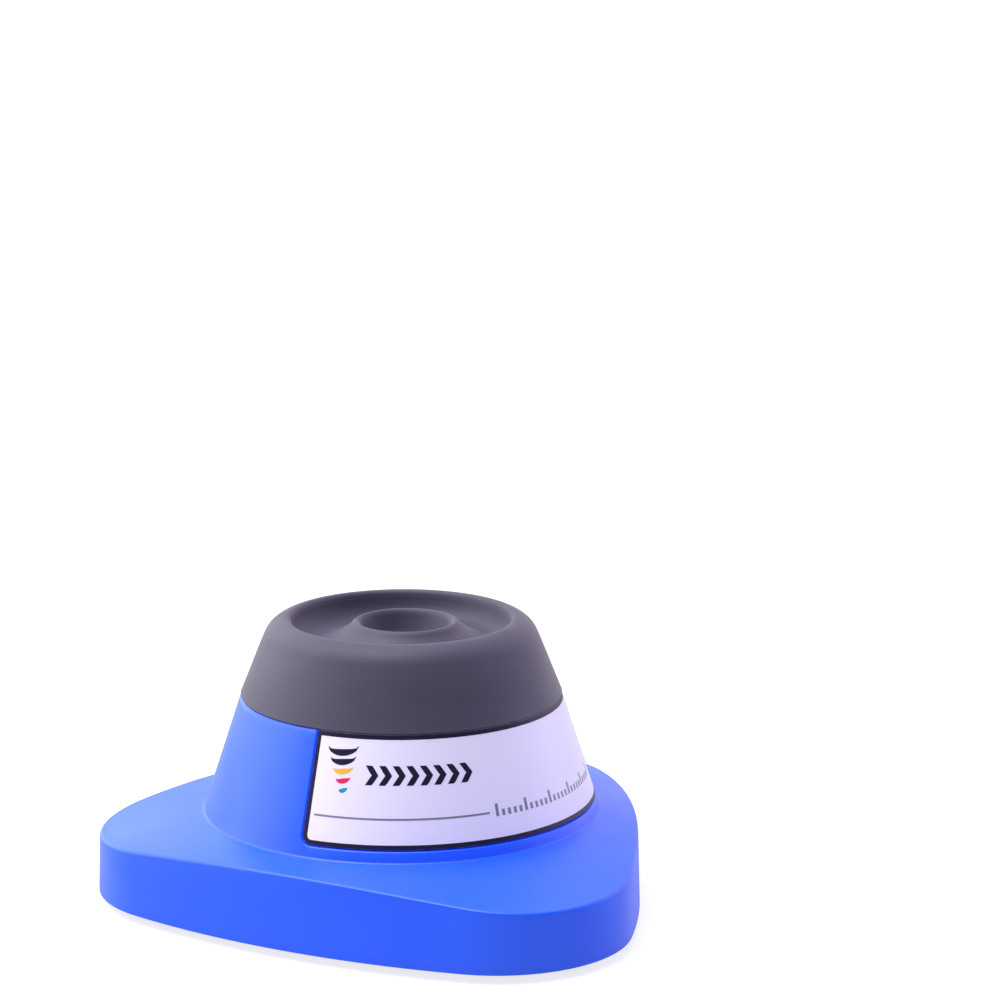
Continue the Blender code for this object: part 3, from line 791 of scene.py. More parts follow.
INK_NAVY = PrintedFilm("ink_navy", "label_film", (0.008, 0.006, 0.030), 0.45, tint=(0.012, 0.010, 0.040), coat=0.0)
INK_GREY = PrintedFilm("ink_grey", "label_film", (0.20, 0.18, 0.27), 0.4, tint=(0.24, 0.22, 0.31))
INK_RED = PrintedFilm("ink_red", "label_film", (0.72, 0.02, 0.10), 0.36, tint=(0.78, 0.03, 0.13))
INK_AMBER = PrintedFilm("ink_amber", "label_film", (0.86, 0.44, 0.03), 0.36, tint=(0.90, 0.50, 0.05))
INK_TEAL = PrintedFilm("ink_teal", "label_film", (0.02, 0.28, 0.50), 0.36, tint=(0.03, 0.33, 0.55))
STEEL = MachinedMetal("bright_steel", "steel", (0.60, 0.60, 0.62), 0.26, stain=(0.46, 0.45, 0.44))
SPRING_STEEL = MachinedMetal(
    "drawn_spring_wire", "spring_steel", (0.50, 0.50, 0.52), 0.3, stain=(0.34, 0.33, 0.32), mark_stretch=(1, 1, 1)
)
ZINC = MachinedMetal("zinc_plating", "zinc_plate", (0.56, 0.57, 0.59), 0.34, stain=(0.62, 0.58, 0.46))
IRON = MachinedMetal(
    "dull_iron", "dark_iron", (0.10, 0.10, 0.105), 0.58,
    stain=(0.17, 0.12, 0.09), marks=0.9, mark_stretch=(1, 1, 1), metallic=0.6,
)
COPPER = MachinedMetal("bare_copper", "copper", (0.72, 0.30, 0.14), 0.3, stain=(0.42, 0.17, 0.10))
BRASS = MachinedMetal("turned_brass", "brass", (0.74, 0.56, 0.24), 0.3, stain=(0.50, 0.36, 0.15))
BOARD = SolderMask("green_solder_mask", "board_green", (0.010, 0.130, 0.045), 0.35)

SLOT_FINISHES = {
    finish.slot: finish
    for finish in (
        BLUE_SHELL, LABEL_WHITE, BLACK_MOULDING, FOOT_RUBBER, BOOT_RUBBER, STEEL, SPRING_STEEL, ZINC,
        IRON, NYLON, COPPER, BRASS, BOARD, RED_PLASTIC, LEAD_BLACK,
    )
}


# Geometry Nodes --------------------


class GrowthTree:
    """A Geometry Nodes tree under construction, with named inputs for its sizes."""

    def __init__(self, name: str) -> None:
        """Starts a tree of this name that takes and gives geometry."""
        self.tree = bpy.data.node_groups.new(name, "GeometryNodeTree")
        self.tree.interface.new_socket("Geometry", in_out="INPUT", socket_type="NodeSocketGeometry")
        self.tree.interface.new_socket("Geometry", in_out="OUTPUT", socket_type="NodeSocketGeometry")
        self.entry = self.tree.nodes.new("NodeGroupInput")
        self.leave = self.tree.nodes.new("NodeGroupOutput")
        self.identifiers: dict[str, str] = {}

    def size(self, name: str, default: float | int) -> Socket:
        """Adds a named number that the tree takes.

        Args:
            name: its name.
            default: its default; a whole number makes a whole-number input.

        Returns:
            Its socket inside the tree.
        """
        kind = "NodeSocketInt" if isinstance(default, int) else "NodeSocketFloat"
        socket = self.tree.interface.new_socket(name, in_out="INPUT", socket_type=kind)
        socket.default_value = default
        self.identifiers[name] = socket.identifier
        return self.entry.outputs[name]

    def add(self, kind: str, inputs: dict[str | int, object] | None = None, **settings: object) -> bpy.types.Node:
        """Adds a node.

        Args:
            kind: its type, without the GeometryNode prefix where it has that one.
            inputs: input sockets' names or numbers, with the socket or value that feeds each.
            **settings: its properties.

        Returns:
            The node.
        """
        node = self.tree.nodes.new(kind if "Node" in kind else "GeometryNode" + kind)
        for key, value in settings.items():
            setattr(node, key, value)
        for key, value in (inputs or {}).items():
            if isinstance(value, Socket):
                self.tree.links.new(value, node.inputs[key])
            else:
                node.inputs[key].default_value = value
        return node

    def make(self, kind: str, inputs: dict[str | int, object] | None = None, **settings: object) -> Socket:
        """Adds a node in the way of add, and returns its first output."""
        return self.add(kind, inputs, **settings).outputs[0]

    def copies(self, instance: Socket, **more: object) -> Socket:
        """Returns an instance set on each place, or on other points given as Points."""
        return self.make("InstanceOnPoints", {"Points": self.entry.outputs[0], "Instance": instance, **more})

    def math(self, operation: str, a: object, b: object = 0.0) -> Socket:
        """Returns the result of a Math node on two values or sockets."""
        return self.make("ShaderNodeMath", {0: a, 1: b}, operation=operation)

    def join_xyz(self, x: object, y: object, z: object) -> Socket:
        """Returns a vector from three numbers or sockets."""
        return self.make("ShaderNodeCombineXYZ", {0: x, 1: y, 2: z})

    def split_xyz(self, vector: Socket) -> bpy.types.NodeOutputs:
        """Returns the three parts of a vector."""
        return self.add("ShaderNodeSeparateXYZ", {0: vector}).outputs

    def gather(self, geometries: Sequence[Socket]) -> Socket:
        """Returns several geometries as one."""
        node = self.add("JoinGeometry")
        for geometry in geometries:
            self.tree.links.new(geometry, node.inputs[0])
        return node.outputs[0]

    def close(self, geometry: Socket, finish: Finish) -> None:
        """Ends the tree with the given geometry made real, in one finish."""
        real = self.make("RealizeInstances", {0: geometry})
        self.finish = finish
        dressed = self.make("SetMaterial", {"Geometry": real, "Material": finish.material()})
        self.tree.links.new(dressed, self.leave.inputs[0])

    def grow(self, name: str, places: Sequence[Point3], sharp_deg: float = 40.0, **sizes: float) -> Piece:
        """Returns the plain mesh that the tree makes from a set of places.

        Args:
            name: the piece's name.
            places: points that the tree starts from.
            sharp_deg: edges over this angle stay sharp.
            **sizes: values for the named inputs, with spaces written as _.
        """
        mesh = bpy.data.meshes.new(name)
        mesh.from_pydata([tuple(p) for p in places], [], [])
        obj = link_object(name, mesh)
        modifier = obj.modifiers.new("Growth", "NODES")
        modifier.node_group = self.tree
        for key, value in sizes.items():
            modifier[self.identifiers[key.replace("_", " ")]] = value
        bake_modifiers(obj)
        obj.data.materials.clear()
        obj.data.materials.append(self.finish.material())
        mend(obj.data)
        shade(obj.data, sharp_deg)
        return obj


def spring_tree() -> GrowthTree:
    """Returns a tree that winds one compression spring, with closed ends, at each place."""
    tree = GrowthTree("compression_spring")
    closing = 0.72
    height = tree.size("Height", 0.02)
    coil, wire = tree.size("Coil Radius", 0.004), tree.size("Wire Radius", 0.0005)
    turns, per_turn = tree.size("Turns", 6), tree.size("Steps A Turn", 24)
    steps = tree.math("MULTIPLY", turns, per_turn)
    line = tree.make("CurvePrimitiveLine", {"Start": (0.0, 0.0, 0.0), "End": (0.0, 0.0, 1.0)})
    many = tree.make("ResampleCurve", {"Curve": line, "Count": steps})
    share = tree.add("SplineParameter").outputs["Factor"]
    angle = tree.math("MULTIPLY", tree.math("MULTIPLY", share, turns), math.tau)
    ease = tree.math("MULTIPLY", tree.math("SINE", tree.math("MULTIPLY", share, math.tau)), closing / math.tau)
    rise = tree.math("MULTIPLY", tree.math("SUBTRACT", share, ease), height)
    across, along = (tree.math("MULTIPLY", tree.math(wave, angle), coil) for wave in ("COSINE", "SINE"))
    spot = tree.join_xyz(across, along, rise)
    wound = tree.make("SetPosition", {"Geometry": many, "Position": spot})
    section = tree.make("CurvePrimitiveCircle", {"Resolution": 10, "Radius": wire})
    solid = tree.make("CurveToMesh", {"Curve": wound, "Profile Curve": section, "Fill Caps": True})
    tree.close(tree.copies(solid), SPRING_STEEL)
    return tree


def screw_tree(name: str, pattern: Piece, finish: Finish, seed: int) -> GrowthTree:
    """Returns a tree that sets one copy of a pattern screw at each place, each turned by chance.

    Args:
        name: the tree's name.
        pattern: the screw, with its axis on the origin.
        finish: what it's made of.
        seed: fixes the turns.
    """
    tree = GrowthTree(name)
    most = tree.size("Most Turn", math.pi)
    info = tree.add("ObjectInfo", {"Object": pattern})
    turn = tree.add("FunctionNodeRandomValue", {"Max": most, "Seed": seed}, data_type="FLOAT")
    spin = tree.join_xyz(0.0, 0.0, next(o for o in turn.outputs if o.enabled))
    rotation = tree.make("FunctionNodeEulerToRotation", {0: spin})
    tree.close(tree.copies(info.outputs["Geometry"], Rotation=rotation), finish)
    return tree


def dome_tree(name: str, finish: Finish) -> GrowthTree:
    """Returns a tree that sets a low dome, such as a solder joint, at each place.

    Args:
        name: the tree's name.
        finish: what it's made of.
    """
    tree = GrowthTree(name)
    radius, height = tree.size("Radius", 0.0008), tree.size("Height", 0.0006)
    ball = tree.make("MeshUVSphere", {"Segments": 12, "Rings": 8, "Radius": 1.0})
    scale = tree.join_xyz(radius, radius, height)
    tree.close(tree.copies(ball, Scale=scale), finish)
    return tree


def lead_tree() -> GrowthTree:
    """Returns a tree that bends a row of gull-wing legs along each side of a chip.

    Each place is the middle of a chip's underside.
    """
    tree = GrowthTree("chip_legs")
    pitch, reach = tree.size("Pitch", 0.00127), tree.size("Half Width", 0.0025)
    count = tree.size("Legs A Side", 4)
    span = tree.math("MULTIPLY", tree.math("SUBTRACT", count, 1), pitch)
    start = tree.join_xyz(0.0, tree.math("MULTIPLY", span, -0.5), 0.0)
    step = tree.join_xyz(0.0, pitch, 0.0)
    row = tree.make("MeshLine", {"Count": count, "Start Location": start, "Offset": step})
    knee = [(0.0, 0.0009), (0.0005, 0.0009), (0.0007, 0.0002), (0.0013, 0.0002)]
    width, thickness, overlap = 0.00042, 0.00016, 0.00012
    pieces = []
    for (x0, z0), (x1, z1) in zip(knee, knee[1:], strict=False):
        long = math.hypot(x1 - x0, z1 - z0) + overlap
        box = tree.make("MeshCube", {"Size": (long, width, thickness)})
        moved = tree.make(
            "Transform",
            {
                "Geometry": box,
                "Translation": ((x0 + x1) / 2, 0.0, (z0 + z1) / 2),
                "Rotation": (0.0, math.atan2(z0 - z1, x1 - x0), 0.0),
            },
        )
        pieces.append(moved)
    leg = tree.gather(pieces)
    legs = tree.copies(leg, Points=row)
    right = tree.make("Transform", {"Geometry": legs, "Translation": tree.join_xyz(reach, 0.0, 0.0)})
    left = tree.make("Transform", {"Geometry": right, "Rotation": (0.0, 0.0, math.pi)})
    both = tree.gather([right, left])
    tree.close(tree.copies(both), STEEL)
    return tree


def scale_tree(label: "Label") -> GrowthTree:
    """Returns a tree that prints a graduated scale round the label, every fifth mark longer.

    Args:
        label: the film that it's printed on. Each place is (s, t) of the scale's first mark.
    """
    tree = GrowthTree("printed_scale")
    count, pitch = tree.size("Marks", 26), tree.size("Pitch", 0.0015)
    short, long = tree.size("Short Mark", 0.0013), tree.size("Long Mark", 0.0026)
    width, lift = tree.size("Mark Width", 0.0007), tree.size("Ink", 0.00003)
    row = tree.make("MeshLine", {"Count": count, "Offset": tree.join_xyz(pitch, 0.0, 0.0)})
    index = tree.make("InputIndex")
    fifth = tree.math("LESS_THAN", tree.math("MODULO", index, 5.0), 0.5)
    tall = tree.math("ADD", short, tree.math("MULTIPLY", fifth, tree.math("SUBTRACT", long, short)))
    bar = tree.make("MeshCube", {"Size": (1.0, 1.0, 1.0), "Vertices X": 2, "Vertices Y": 4, "Vertices Z": 2})
    stood = tree.make("Transform", {"Geometry": bar, "Translation": (0.0, 0.5, 0.0)})
    scale = tree.join_xyz(width, tall, tree.math("MULTIPLY", lift, 2.0))
    rows = tree.copies(tree.copies(stood, Points=row, Scale=scale))
    real = tree.make("RealizeInstances", {0: rows})
    part = tree.split_xyz(tree.make("InputPosition"))
    seat, shell = label.shell.seat, label.shell
    azimuth = tree.math("ADD", tree.math("DIVIDE", part[0], label.mid_r()), math.radians(seat.centre_deg))
    z = tree.math("ADD", part[1], seat.bottom_z)
    taper = tree.math("MULTIPLY", tree.math("SUBTRACT", z, shell.cone_foot[1]), shell.taper)
    radius = tree.math("ADD", tree.math("SUBTRACT", shell.cone_foot[0] - label.sink, taper), part[2])
    x = tree.math("ADD", tree.math("MULTIPLY", tree.math("SINE", azimuth), radius), MOTOR_AXIS.x)
    y = tree.math("SUBTRACT", MOTOR_AXIS.y, tree.math("MULTIPLY", tree.math("COSINE", azimuth), radius))
    wrapped = tree.make("SetPosition", {"Geometry": real, "Position": tree.join_xyz(x, y, z)})
    tree.close(wrapped, INK_GREY)
    return tree


# Studio --------------------


@dataclass(frozen=True)
class SoftBox:
    """A square area light that faces the mixer.

    Attributes:
        name: its name.
        round_deg: how far it stands from the camera, towards the camera's right.
        height: its height above the floor.
        reach: its distance in plan.
        size: its side.
        watts: its power.
        colour: its tint.
        aim_z: height of the point that it faces.
    """

    name: str
    round_deg: float
    height: float
    reach: float
    size: float
    watts: float
    colour: Colour
    aim_z: float = 0.03

    def hang(self, camera_deg: float) -> None:
        """Adds the light, placed from the camera's azimuth."""
        spot = Vector(polar(self.reach, math.radians(camera_deg + self.round_deg), self.height))
        data = bpy.data.lights.new(self.name, "AREA")
        data.size = self.size
        data.energy = self.watts
        data.color = self.colour
        light = link_object(self.name, data)
        light.location = spot
        light.rotation_mode = "QUATERNION"
        light.rotation_quaternion = (Vector((0, 0, self.aim_z)) - spot).to_track_quat("-Z", "Y")


SOFT_BOXES = (
    SoftBox("left", -95.0, 0.6, 1.2, 1.3, 14.0, (1.0, 0.97, 1.0)),
    SoftBox("behind_left", -145.0, 0.6, 1.6, 1.3, 9.0, (0.98, 0.98, 1.0)),
    SoftBox("right", 108.0, 0.6, 1.3, 1.2, 8.0, (0.72, 0.64, 1.0)),
)


@dataclass
class Studio:
    """Camera, floor, lights and world.

    Attributes:
        azimuth_deg: where the camera stands, from the front towards +X.
        elevation_deg: its height above the horizon.
        distance: from the aimed point on the motor's axis.
        aim_z: height of that point.
        turn_right_deg: how far the camera looks to the right of that point.
        turn_up_deg: how far it looks above that point.
        lens_mm: focal length on a 36 mm sensor.
        mirror_front: strength of the surround in reflections on the camera's side.
        mirror_back: the same behind the mixer.
        floor_glow: how much light the floor itself throws on the mixer.
        floor_seen: how bright it looks to the camera without other light.
        floor_half: half its side.
        floor_colour: its colour.
        sun_energy: strength of the light overhead.
        sun_spread_deg: its angular size.
        sun_tilt_deg: how far it leans about X and about Y.
        surround_left: tint of the surround in reflections on the camera's left.
        surround_right: the same on its right.
        fill: colour of the even light from all round.
        fill_strength: its strength.
    """

    azimuth_deg: float = -31.0
    elevation_deg: float = 15.07
    distance: float = 0.850
    aim_z: float = 0.0461
    turn_right_deg: float = 1.54
    turn_up_deg: float = 2.92
    lens_mm: float = 135.6
    mirror_front: float = 0.2
    mirror_back: float = 1.5
    floor_glow: float = 0.48
    floor_seen: float = 0.78
    floor_half: float = 6.0
    floor_colour: Colour = (0.30, 0.30, 0.31)
    sun_energy: float = 3.6
    sun_spread_deg: float = 50.0
    sun_tilt_deg: Point2 = (-8.0, -14.0)
    surround_left: Colour = (0.60, 0.66, 0.70)
    surround_right: Colour = (1.15, 0.98, 1.12)
    fill: Colour = (0.97, 0.97, 1.0)
    fill_strength: float = 0.28

    def build(self) -> None:
        """Makes everything that isn't the mixer."""
        self.build_camera()
        self.build_floor()
        self.build_lights()
        self.build_world()
        bpy.context.scene.view_settings.view_transform = "Standard"

    def build_camera(self) -> None:
        """Sets the camera at the viewing angle, aimed to place the mixer low and left in the frame."""
        azimuth, elevation = math.radians(self.azimuth_deg), math.radians(self.elevation_deg)
        flat = math.cos(elevation)
        back = Vector((math.sin(azimuth) * flat, -math.cos(azimuth) * flat, math.sin(elevation)))
        spot = Vector((*MOTOR_AXIS, self.aim_z))
        right = (-back).cross(Vector((0, 0, 1))).normalized()
        up = right.cross(-back)
        aside, above = math.tan(math.radians(self.turn_right_deg)), math.tan(math.radians(self.turn_up_deg))
        look = -back + aside * right + above * up
        data = bpy.data.cameras.new("camera")
        data.lens = self.lens_mm
        data.sensor_width = 36.0
        data.clip_start, data.clip_end = 0.01, 20.0
        camera = link_object("camera", data)
        camera.location = spot + back * self.distance
        camera.rotation_mode = "QUATERNION"
        camera.rotation_quaternion = look.normalized().to_track_quat("-Z", "Y")
        bpy.context.scene.camera = camera

    def build_floor(self) -> None:
        """Lays a large pale floor under the feet."""
        material = bpy.data.materials.new("pale_floor")
        material.use_nodes = True
        sheet = ShaderSheet(material.node_tree)
        shader = material.node_tree.nodes["Principled BSDF"].inputs
        white = (1.0, 1.0, 1.0, 1.0)
        colour = (*self.floor_colour, 1.0)
        sheet.preset(shader, Base_Color=colour, Roughness=0.9, Specular_IOR_Level=0.1, Emission_Color=white)
        seen = sheet.add("LightPath").outputs["Is Camera Ray"]
        sheet.link(sheet.spread(seen, 0.0, 1.0, self.floor_glow, self.floor_seen), shader["Emission Strength"])
        half = self.floor_half
        corners = [(-half, -half, 0.0), (half, -half, 0.0), (half, half, 0.0), (-half, half, 0.0)]
        mesh = bpy.data.meshes.new("floor")
        mesh.from_pydata(corners, [], [(0, 1, 2, 3)])
        mesh.materials.append(material)
        floor = link_object("floor", mesh)

    def build_lights(self) -> None:
        """Hangs a broad soft light overhead and the soft boxes round the mixer."""
        sky = bpy.data.lights.new("overhead", "SUN")
        sky.energy = self.sun_energy
        sky.angle = math.radians(self.sun_spread_deg)
        overhead = link_object("overhead", sky)
        overhead.rotation_euler = (*(math.radians(tilt) for tilt in self.sun_tilt_deg), 0.0)
        for box in SOFT_BOXES:
            box.hang(self.azimuth_deg)

    def build_world(self) -> None:
        """Sets a pale surround, whose reflections are bright behind the mixer and dim on the camera's side."""
        world = bpy.data.worlds.new("studio")
        world.use_nodes = True
        sheet = ShaderSheet(world.node_tree)
        azimuth = math.radians(self.azimuth_deg)
        gaze = (-math.sin(azimuth), math.cos(azimuth), 0.0)
        right = (math.cos(azimuth), math.sin(azimuth), 0.0)
        direction = sheet.add("TexCoord").outputs["Generated"]
        shares = []
        for axis in (gaze, right):
            dot = sheet.add("VectorMath", operation="DOT_PRODUCT")
            sheet.link(direction, dot.inputs[0])
            dot.inputs[1].default_value = axis
            shares.append(dot.outputs["Value"])
        tint = sheet.mix(sheet.spread(shares[1], -0.2, 0.25), self.surround_left, self.surround_right)
        mirrored = sheet.add("Background")
        sheet.link(tint, mirrored.inputs["Color"])
        sheet.link(sheet.spread(shares[0], -0.2, 0.8, self.mirror_front, self.mirror_back), mirrored.inputs["Strength"])
        plain = world.node_tree.nodes["Background"]
        sheet.preset(plain.inputs, Color=(*self.fill, 1.0), Strength=self.fill_strength)
        pick = sheet.add("MixShader")
        sheet.link(sheet.add("LightPath").outputs["Is Glossy Ray"], pick.inputs[0])
        sheet.link(plain.outputs[0], pick.inputs[1])
        sheet.link(mirrored.outputs[0], pick.inputs[2])
        sheet.link(pick.outputs[0], world.node_tree.nodes["World Output"].inputs["Surface"])
        bpy.context.scene.world = world


# Shell and label --------------------


@dataclass
class PlanOutline:
    """The base's plan: three round lobes and the bulging sides between them.

    Attributes:
        lobe_r: radius of each lobe.
        lobes: the lobes' centres, from the motor's axis.
        bulge: how far each side stands out from its chord.
    """

    lobe_r: float = 29.67 * MM
    lobes: tuple[Point2, ...] = ((0.0, -39.9 * MM), (33.4 * MM, 19.9 * MM), (-33.4 * MM, 19.9 * MM))
    bulge: float = 4.0 * MM

    def radii(self, azimuths: Array, inset: float) -> Array:
        """Returns the outline's distance from the motor's axis in each direction.

        Args:
            azimuths: directions in radians.
            inset: how far the outline is moved inwards.
        """
        points = np.array(self.points(inset))
        angle = np.arctan2(points[:, 0], -points[:, 1])
        reach = np.hypot(points[:, 0], points[:, 1])
        order = np.argsort(angle)
        return np.interp(azimuths, angle[order], reach[order], period=2 * math.pi)

    def points(self, inset: float, steps: int = 240) -> list[Point2]:
        """Returns the outline's points.

        Args:
            inset: how far the outline is moved inwards.
            steps: points on each arc.
        """
        arcs = []
        for (ax, ay), (bx, by) in zip(self.lobes, self.lobes[1:] + self.lobes[:1], strict=True):
            chord = math.hypot(bx - ax, by - ay)
            radius = (chord**2 / 4 + self.bulge**2) / (2 * self.bulge)
            normal = math.atan2(ax - bx, by - ay)
            reach = self.bulge - radius
            centre = ((ax + bx) / 2 + reach * math.cos(normal), (ay + by) / 2 + reach * math.sin(normal))
            half = math.asin(chord / 2 / radius)
            arcs.append((centre, radius + self.lobe_r - inset, normal - half, normal + half))
        points: list[Point2] = []
        for index, (centre, radius, start, end) in enumerate(arcs):
            sweep = (arcs[(index + 1) % 3][2] - end) % (2 * math.pi)
            lobe = self.lobes[(index + 1) % 3]
            points += self.arc(centre, radius, start, end, steps)
            points += self.arc(lobe, self.lobe_r - inset, end, end + sweep, steps)
        return points

    @staticmethod
    def arc(centre: Point2, radius: float, start: float, end: float, steps: int) -> list[Point2]:
        """Returns points along an arc, its last one left out."""
        angles = [start + (end - start) * i / steps for i in range(steps)]
        return [(centre[0] + radius * math.cos(a), centre[1] + radius * math.sin(a)) for a in angles]


@dataclass
class LabelSeat:
    """The shallow recess on the tapered body, and the label's place in it.

    Attributes:
        centre_deg: azimuth of its middle.
        half_span_deg: half its width, measured round the axis.
        bottom_z: the label's lower edge.
        top_z: its upper edge.
        corner_r: radius of its lower corners.
        groove: gap between label and recess.
        depth: depth of the recess.
    """

    centre_deg: float = 1.5
    half_span_deg: float = 62.4
    bottom_z: float = 23.5 * MM
    top_z: float = 46.9 * MM
    corner_r: float = 2.0 * MM
    groove: float = 0.35 * MM
    depth: float = 0.85 * MM

    def inside(self, azimuth: Array, z: Array, radius: Array) -> Array:
        """Returns how far each point lies inside the label's outline, in metres.

        Args:
            azimuth: directions in radians.
            z: heights.
            radius: distances from the motor's axis.
        """
        off = (azimuth - math.radians(self.centre_deg) + math.pi) % (2 * math.pi) - math.pi
        side = (math.radians(self.half_span_deg) - np.abs(off)) * radius
        floor = z - self.bottom_z
        corner = self.corner_r - np.hypot(np.maximum(self.corner_r - side, 0), np.maximum(self.corner_r - floor, 0))
        square = np.minimum(side, floor)
        near_corner = (side < self.corner_r) & (floor < self.corner_r)
        return np.where(near_corner, corner, square)


@dataclass(frozen=True)
class PolarityMark:
    """The raised mark for direct current beside the socket. Lengths are in mm.

    Attributes:
        bar: X of the upper bar's ends, and its height.
        dash: the same for the first dash under it.
        dashes: how many dashes there are.
        pitch: distance from one dash to the next.
        half: half the thickness of each line.
        lift: how far the mark stands out from the wall.
        root: how far it reaches into the wall.
        wall_y: Y of the wall, which sets the mark's place round the axis.
    """

    bar: Point3 = (9.0, 13.0, 11.5)
    dash: Point3 = (9.0, 10.1, 10.2)
    dashes: int = 3
    pitch: float = 1.45
    half: float = 0.28
    lift: float = 0.22
    root: float = 0.3
    wall_y: float = 61.4

    def lines(self) -> list[Point3]:
        """Returns each line's left end, right end and height."""
        left, right, z = self.dash
        return [self.bar] + [(left + self.pitch * i, right + self.pitch * i, z) for i in range(self.dashes)]

    def build(self, shell: "Shell") -> Piece:
        """Returns the mark on this shell's wall."""
        points: list[Point3] = []
        faces: list[tuple[int, ...]] = []
        for left, right, z in self.lines():
            start = len(points)
            xs = np.linspace(left, right, 5) * MM
            loop = [(x, (z + half) * MM) for half in (-self.half, self.half) for x in (xs if half < 0 else xs[::-1])]
            for lift in (self.lift * MM, -self.root * MM):
                for x, height in loop:
                    reach = self.wall_y * MM - MOTOR_AXIS.y
                    points.append(shell.on_wall(math.atan2(x, -reach), height, lift))
            count = len(loop)
            faces.append(tuple(start + i for i in range(count)))
            faces.append(tuple(start + count + i for i in range(count)))
            for i in range(count):
                after = (i + 1) % count
                faces.append((start + i, start + after, start + count + after, start + count + i))
        return new_object("polarity_mark", mesh_of("polarity_mark", points, faces, 40), BLUE_SHELL)


@dataclass
class Shell:
    """The blue moulded shell.

    Attributes:
        outline: its plan.
        seat: the label's recess.
        wall: wall thickness.
        draft: how much the wall leans in over its height.
        edge_r: radius of the base's upper edge.
        foot_r: radius where the tapered body meets the base.
        cone_foot: radius and height of the tapered body's foot.
        taper: how much its radius shrinks a unit of height.
        slope: fall of the base's top a unit of radius.
        ledge_z: where the rubber boot starts.
        neck_foot_r: radius of the neck under the boot.
        neck_taper: how much the neck's radius shrinks a unit of height.
        neck_top_z: top of the neck.
        collar_r: radius of the power socket's collar.
        foot_z: height of the base's lower edge.
        boss: bore, foot radius, top radius and foot height of each screw boss.
        column_deg: step between columns.
        fine_deg: the same at the label's sides.
        fine_reach_deg: how far the fine columns reach to either side of a label's edge.
    """

    outline: PlanOutline = field(default_factory=PlanOutline)
    seat: LabelSeat = field(default_factory=LabelSeat)
    wall: float = 2.5 * MM
    draft: float = 0.4 * MM
    edge_r: float = 0.8 * MM
    foot_r: float = 0.5 * MM
    cone_foot: Point2 = (44.56 * MM, 20.74 * MM)
    taper: float = 0.327
    slope: float = 0.228
    ledge_z: float = 47.0 * MM
    neck_foot_r: float = 33.5 * MM
    neck_taper: float = 0.388
    neck_top_z: float = 57.0 * MM
    collar_r: float = 4.1 * MM
    foot_z: float = 2.0 * MM
    boss: tuple[float, float, float, float] = (1.5 * MM, 3.3 * MM, 3.8 * MM, 4.7 * MM)
    column_deg: float = 1.5
    fine_deg: float = 0.15
    fine_reach_deg: float = 4.2

    def cone_r(self, z: Array | float) -> Array | float:
        """Returns the tapered body's radius at a height."""
        return self.cone_foot[0] - self.taper * (z - self.cone_foot[1])

    def slope_z(self, radius: Array | float) -> Array | float:
        """Returns the height of the base's top at a distance from the motor's axis."""
        return self.cone_foot[1] - self.slope * (radius - self.cone_foot[0])

    def columns(self) -> Array:
        """Returns the azimuths of the mesh's columns, closer together at the label's sides."""
        coarse = np.arange(0, 360, self.column_deg)
        edges = [self.seat.centre_deg + side * self.seat.half_span_deg for side in (-1, 1)]
        fine = [edge + np.arange(-self.fine_reach_deg, self.fine_reach_deg + 0.01, self.fine_deg) for edge in edges]
        clear = self.fine_reach_deg + 2 * self.fine_deg
        keep = [c for c in coarse if min(abs((c - e + 180) % 360 - 180) for e in edges) > clear]
        return np.radians(np.sort(np.concatenate([keep, *fine]) % 360))

    def cone_heights(self) -> Array:
        """Returns heights of the rows on the tapered body, closer together at the label's foot."""
        fine_from, fine_to = self.seat.bottom_z + 2.6 * MM, self.seat.bottom_z - 0.7 * MM
        top = np.arange(self.ledge_z - 0.3 * MM, fine_from, -1.1 * MM)
        return np.concatenate([top, np.arange(fine_from, fine_to, -0.14 * MM)])

    def build(self) -> None:
        """Builds the shell with its socket hole, screw bosses and polarity mark, all riding on the base."""
        azimuths = self.columns()
        rows = [*self.outer_rows(azimuths), *self.inner_rows(azimuths)]
        points = [polar(r, a, z) for radii, heights in rows for r, a, z in zip(radii, azimuths, heights, strict=True)]
        faces = grid_faces(len(rows), len(azimuths), True, True)
        shell = new_object("housing_shell", mesh_of("housing_shell", points, faces, 40), BLUE_SHELL)
        for cutter in self.socket_cutters():
            carve(shell, cutter)
        shade(shell.data, 40)
        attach(shell, Body.BASE.value)
        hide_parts("housing")
        for piece in (self.build_bosses(), PolarityMark().build(self)):
            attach(piece, Body.BASE.value)

    def on_wall(self, azimuth: float, z: float, lift: float) -> Point3:
        """Returns a point on the base's wall.

        Args:
            azimuth: its direction in radians.
            z: its height.
            lift: height above the wall's face.
        """
        lean = self.draft * (z - self.foot_z) / (16 * MM)
        radius = float(self.outline.radii(np.array([azimuth]), lean)[0])
        return polar(radius + lift, azimuth, z)

    def build_bosses(self) -> Piece:
        """Returns the three screw bosses under the base's top."""
        bore, foot_r, top_r, foot = self.boss
        fillet, overlap = 0.3 * MM, 0.9 * MM
        piece: Piece | None = None
        for name in SCREW_NODES:
            centre = centre_of(name)
            top = self.slope_z((centre - MOTOR_AXIS).length) - self.wall + overlap
            corners = [(bore, foot, fillet), (foot_r, foot, fillet), (top_r, top, 0), (bore, top, 0)]
            boss = lathe(f"boss_{name}", rounded(corners, 3), BLUE_SHELL, centre, 32)
            piece = boss if piece is None else join(piece, boss)
        piece.name = "shell_bosses"
        return piece

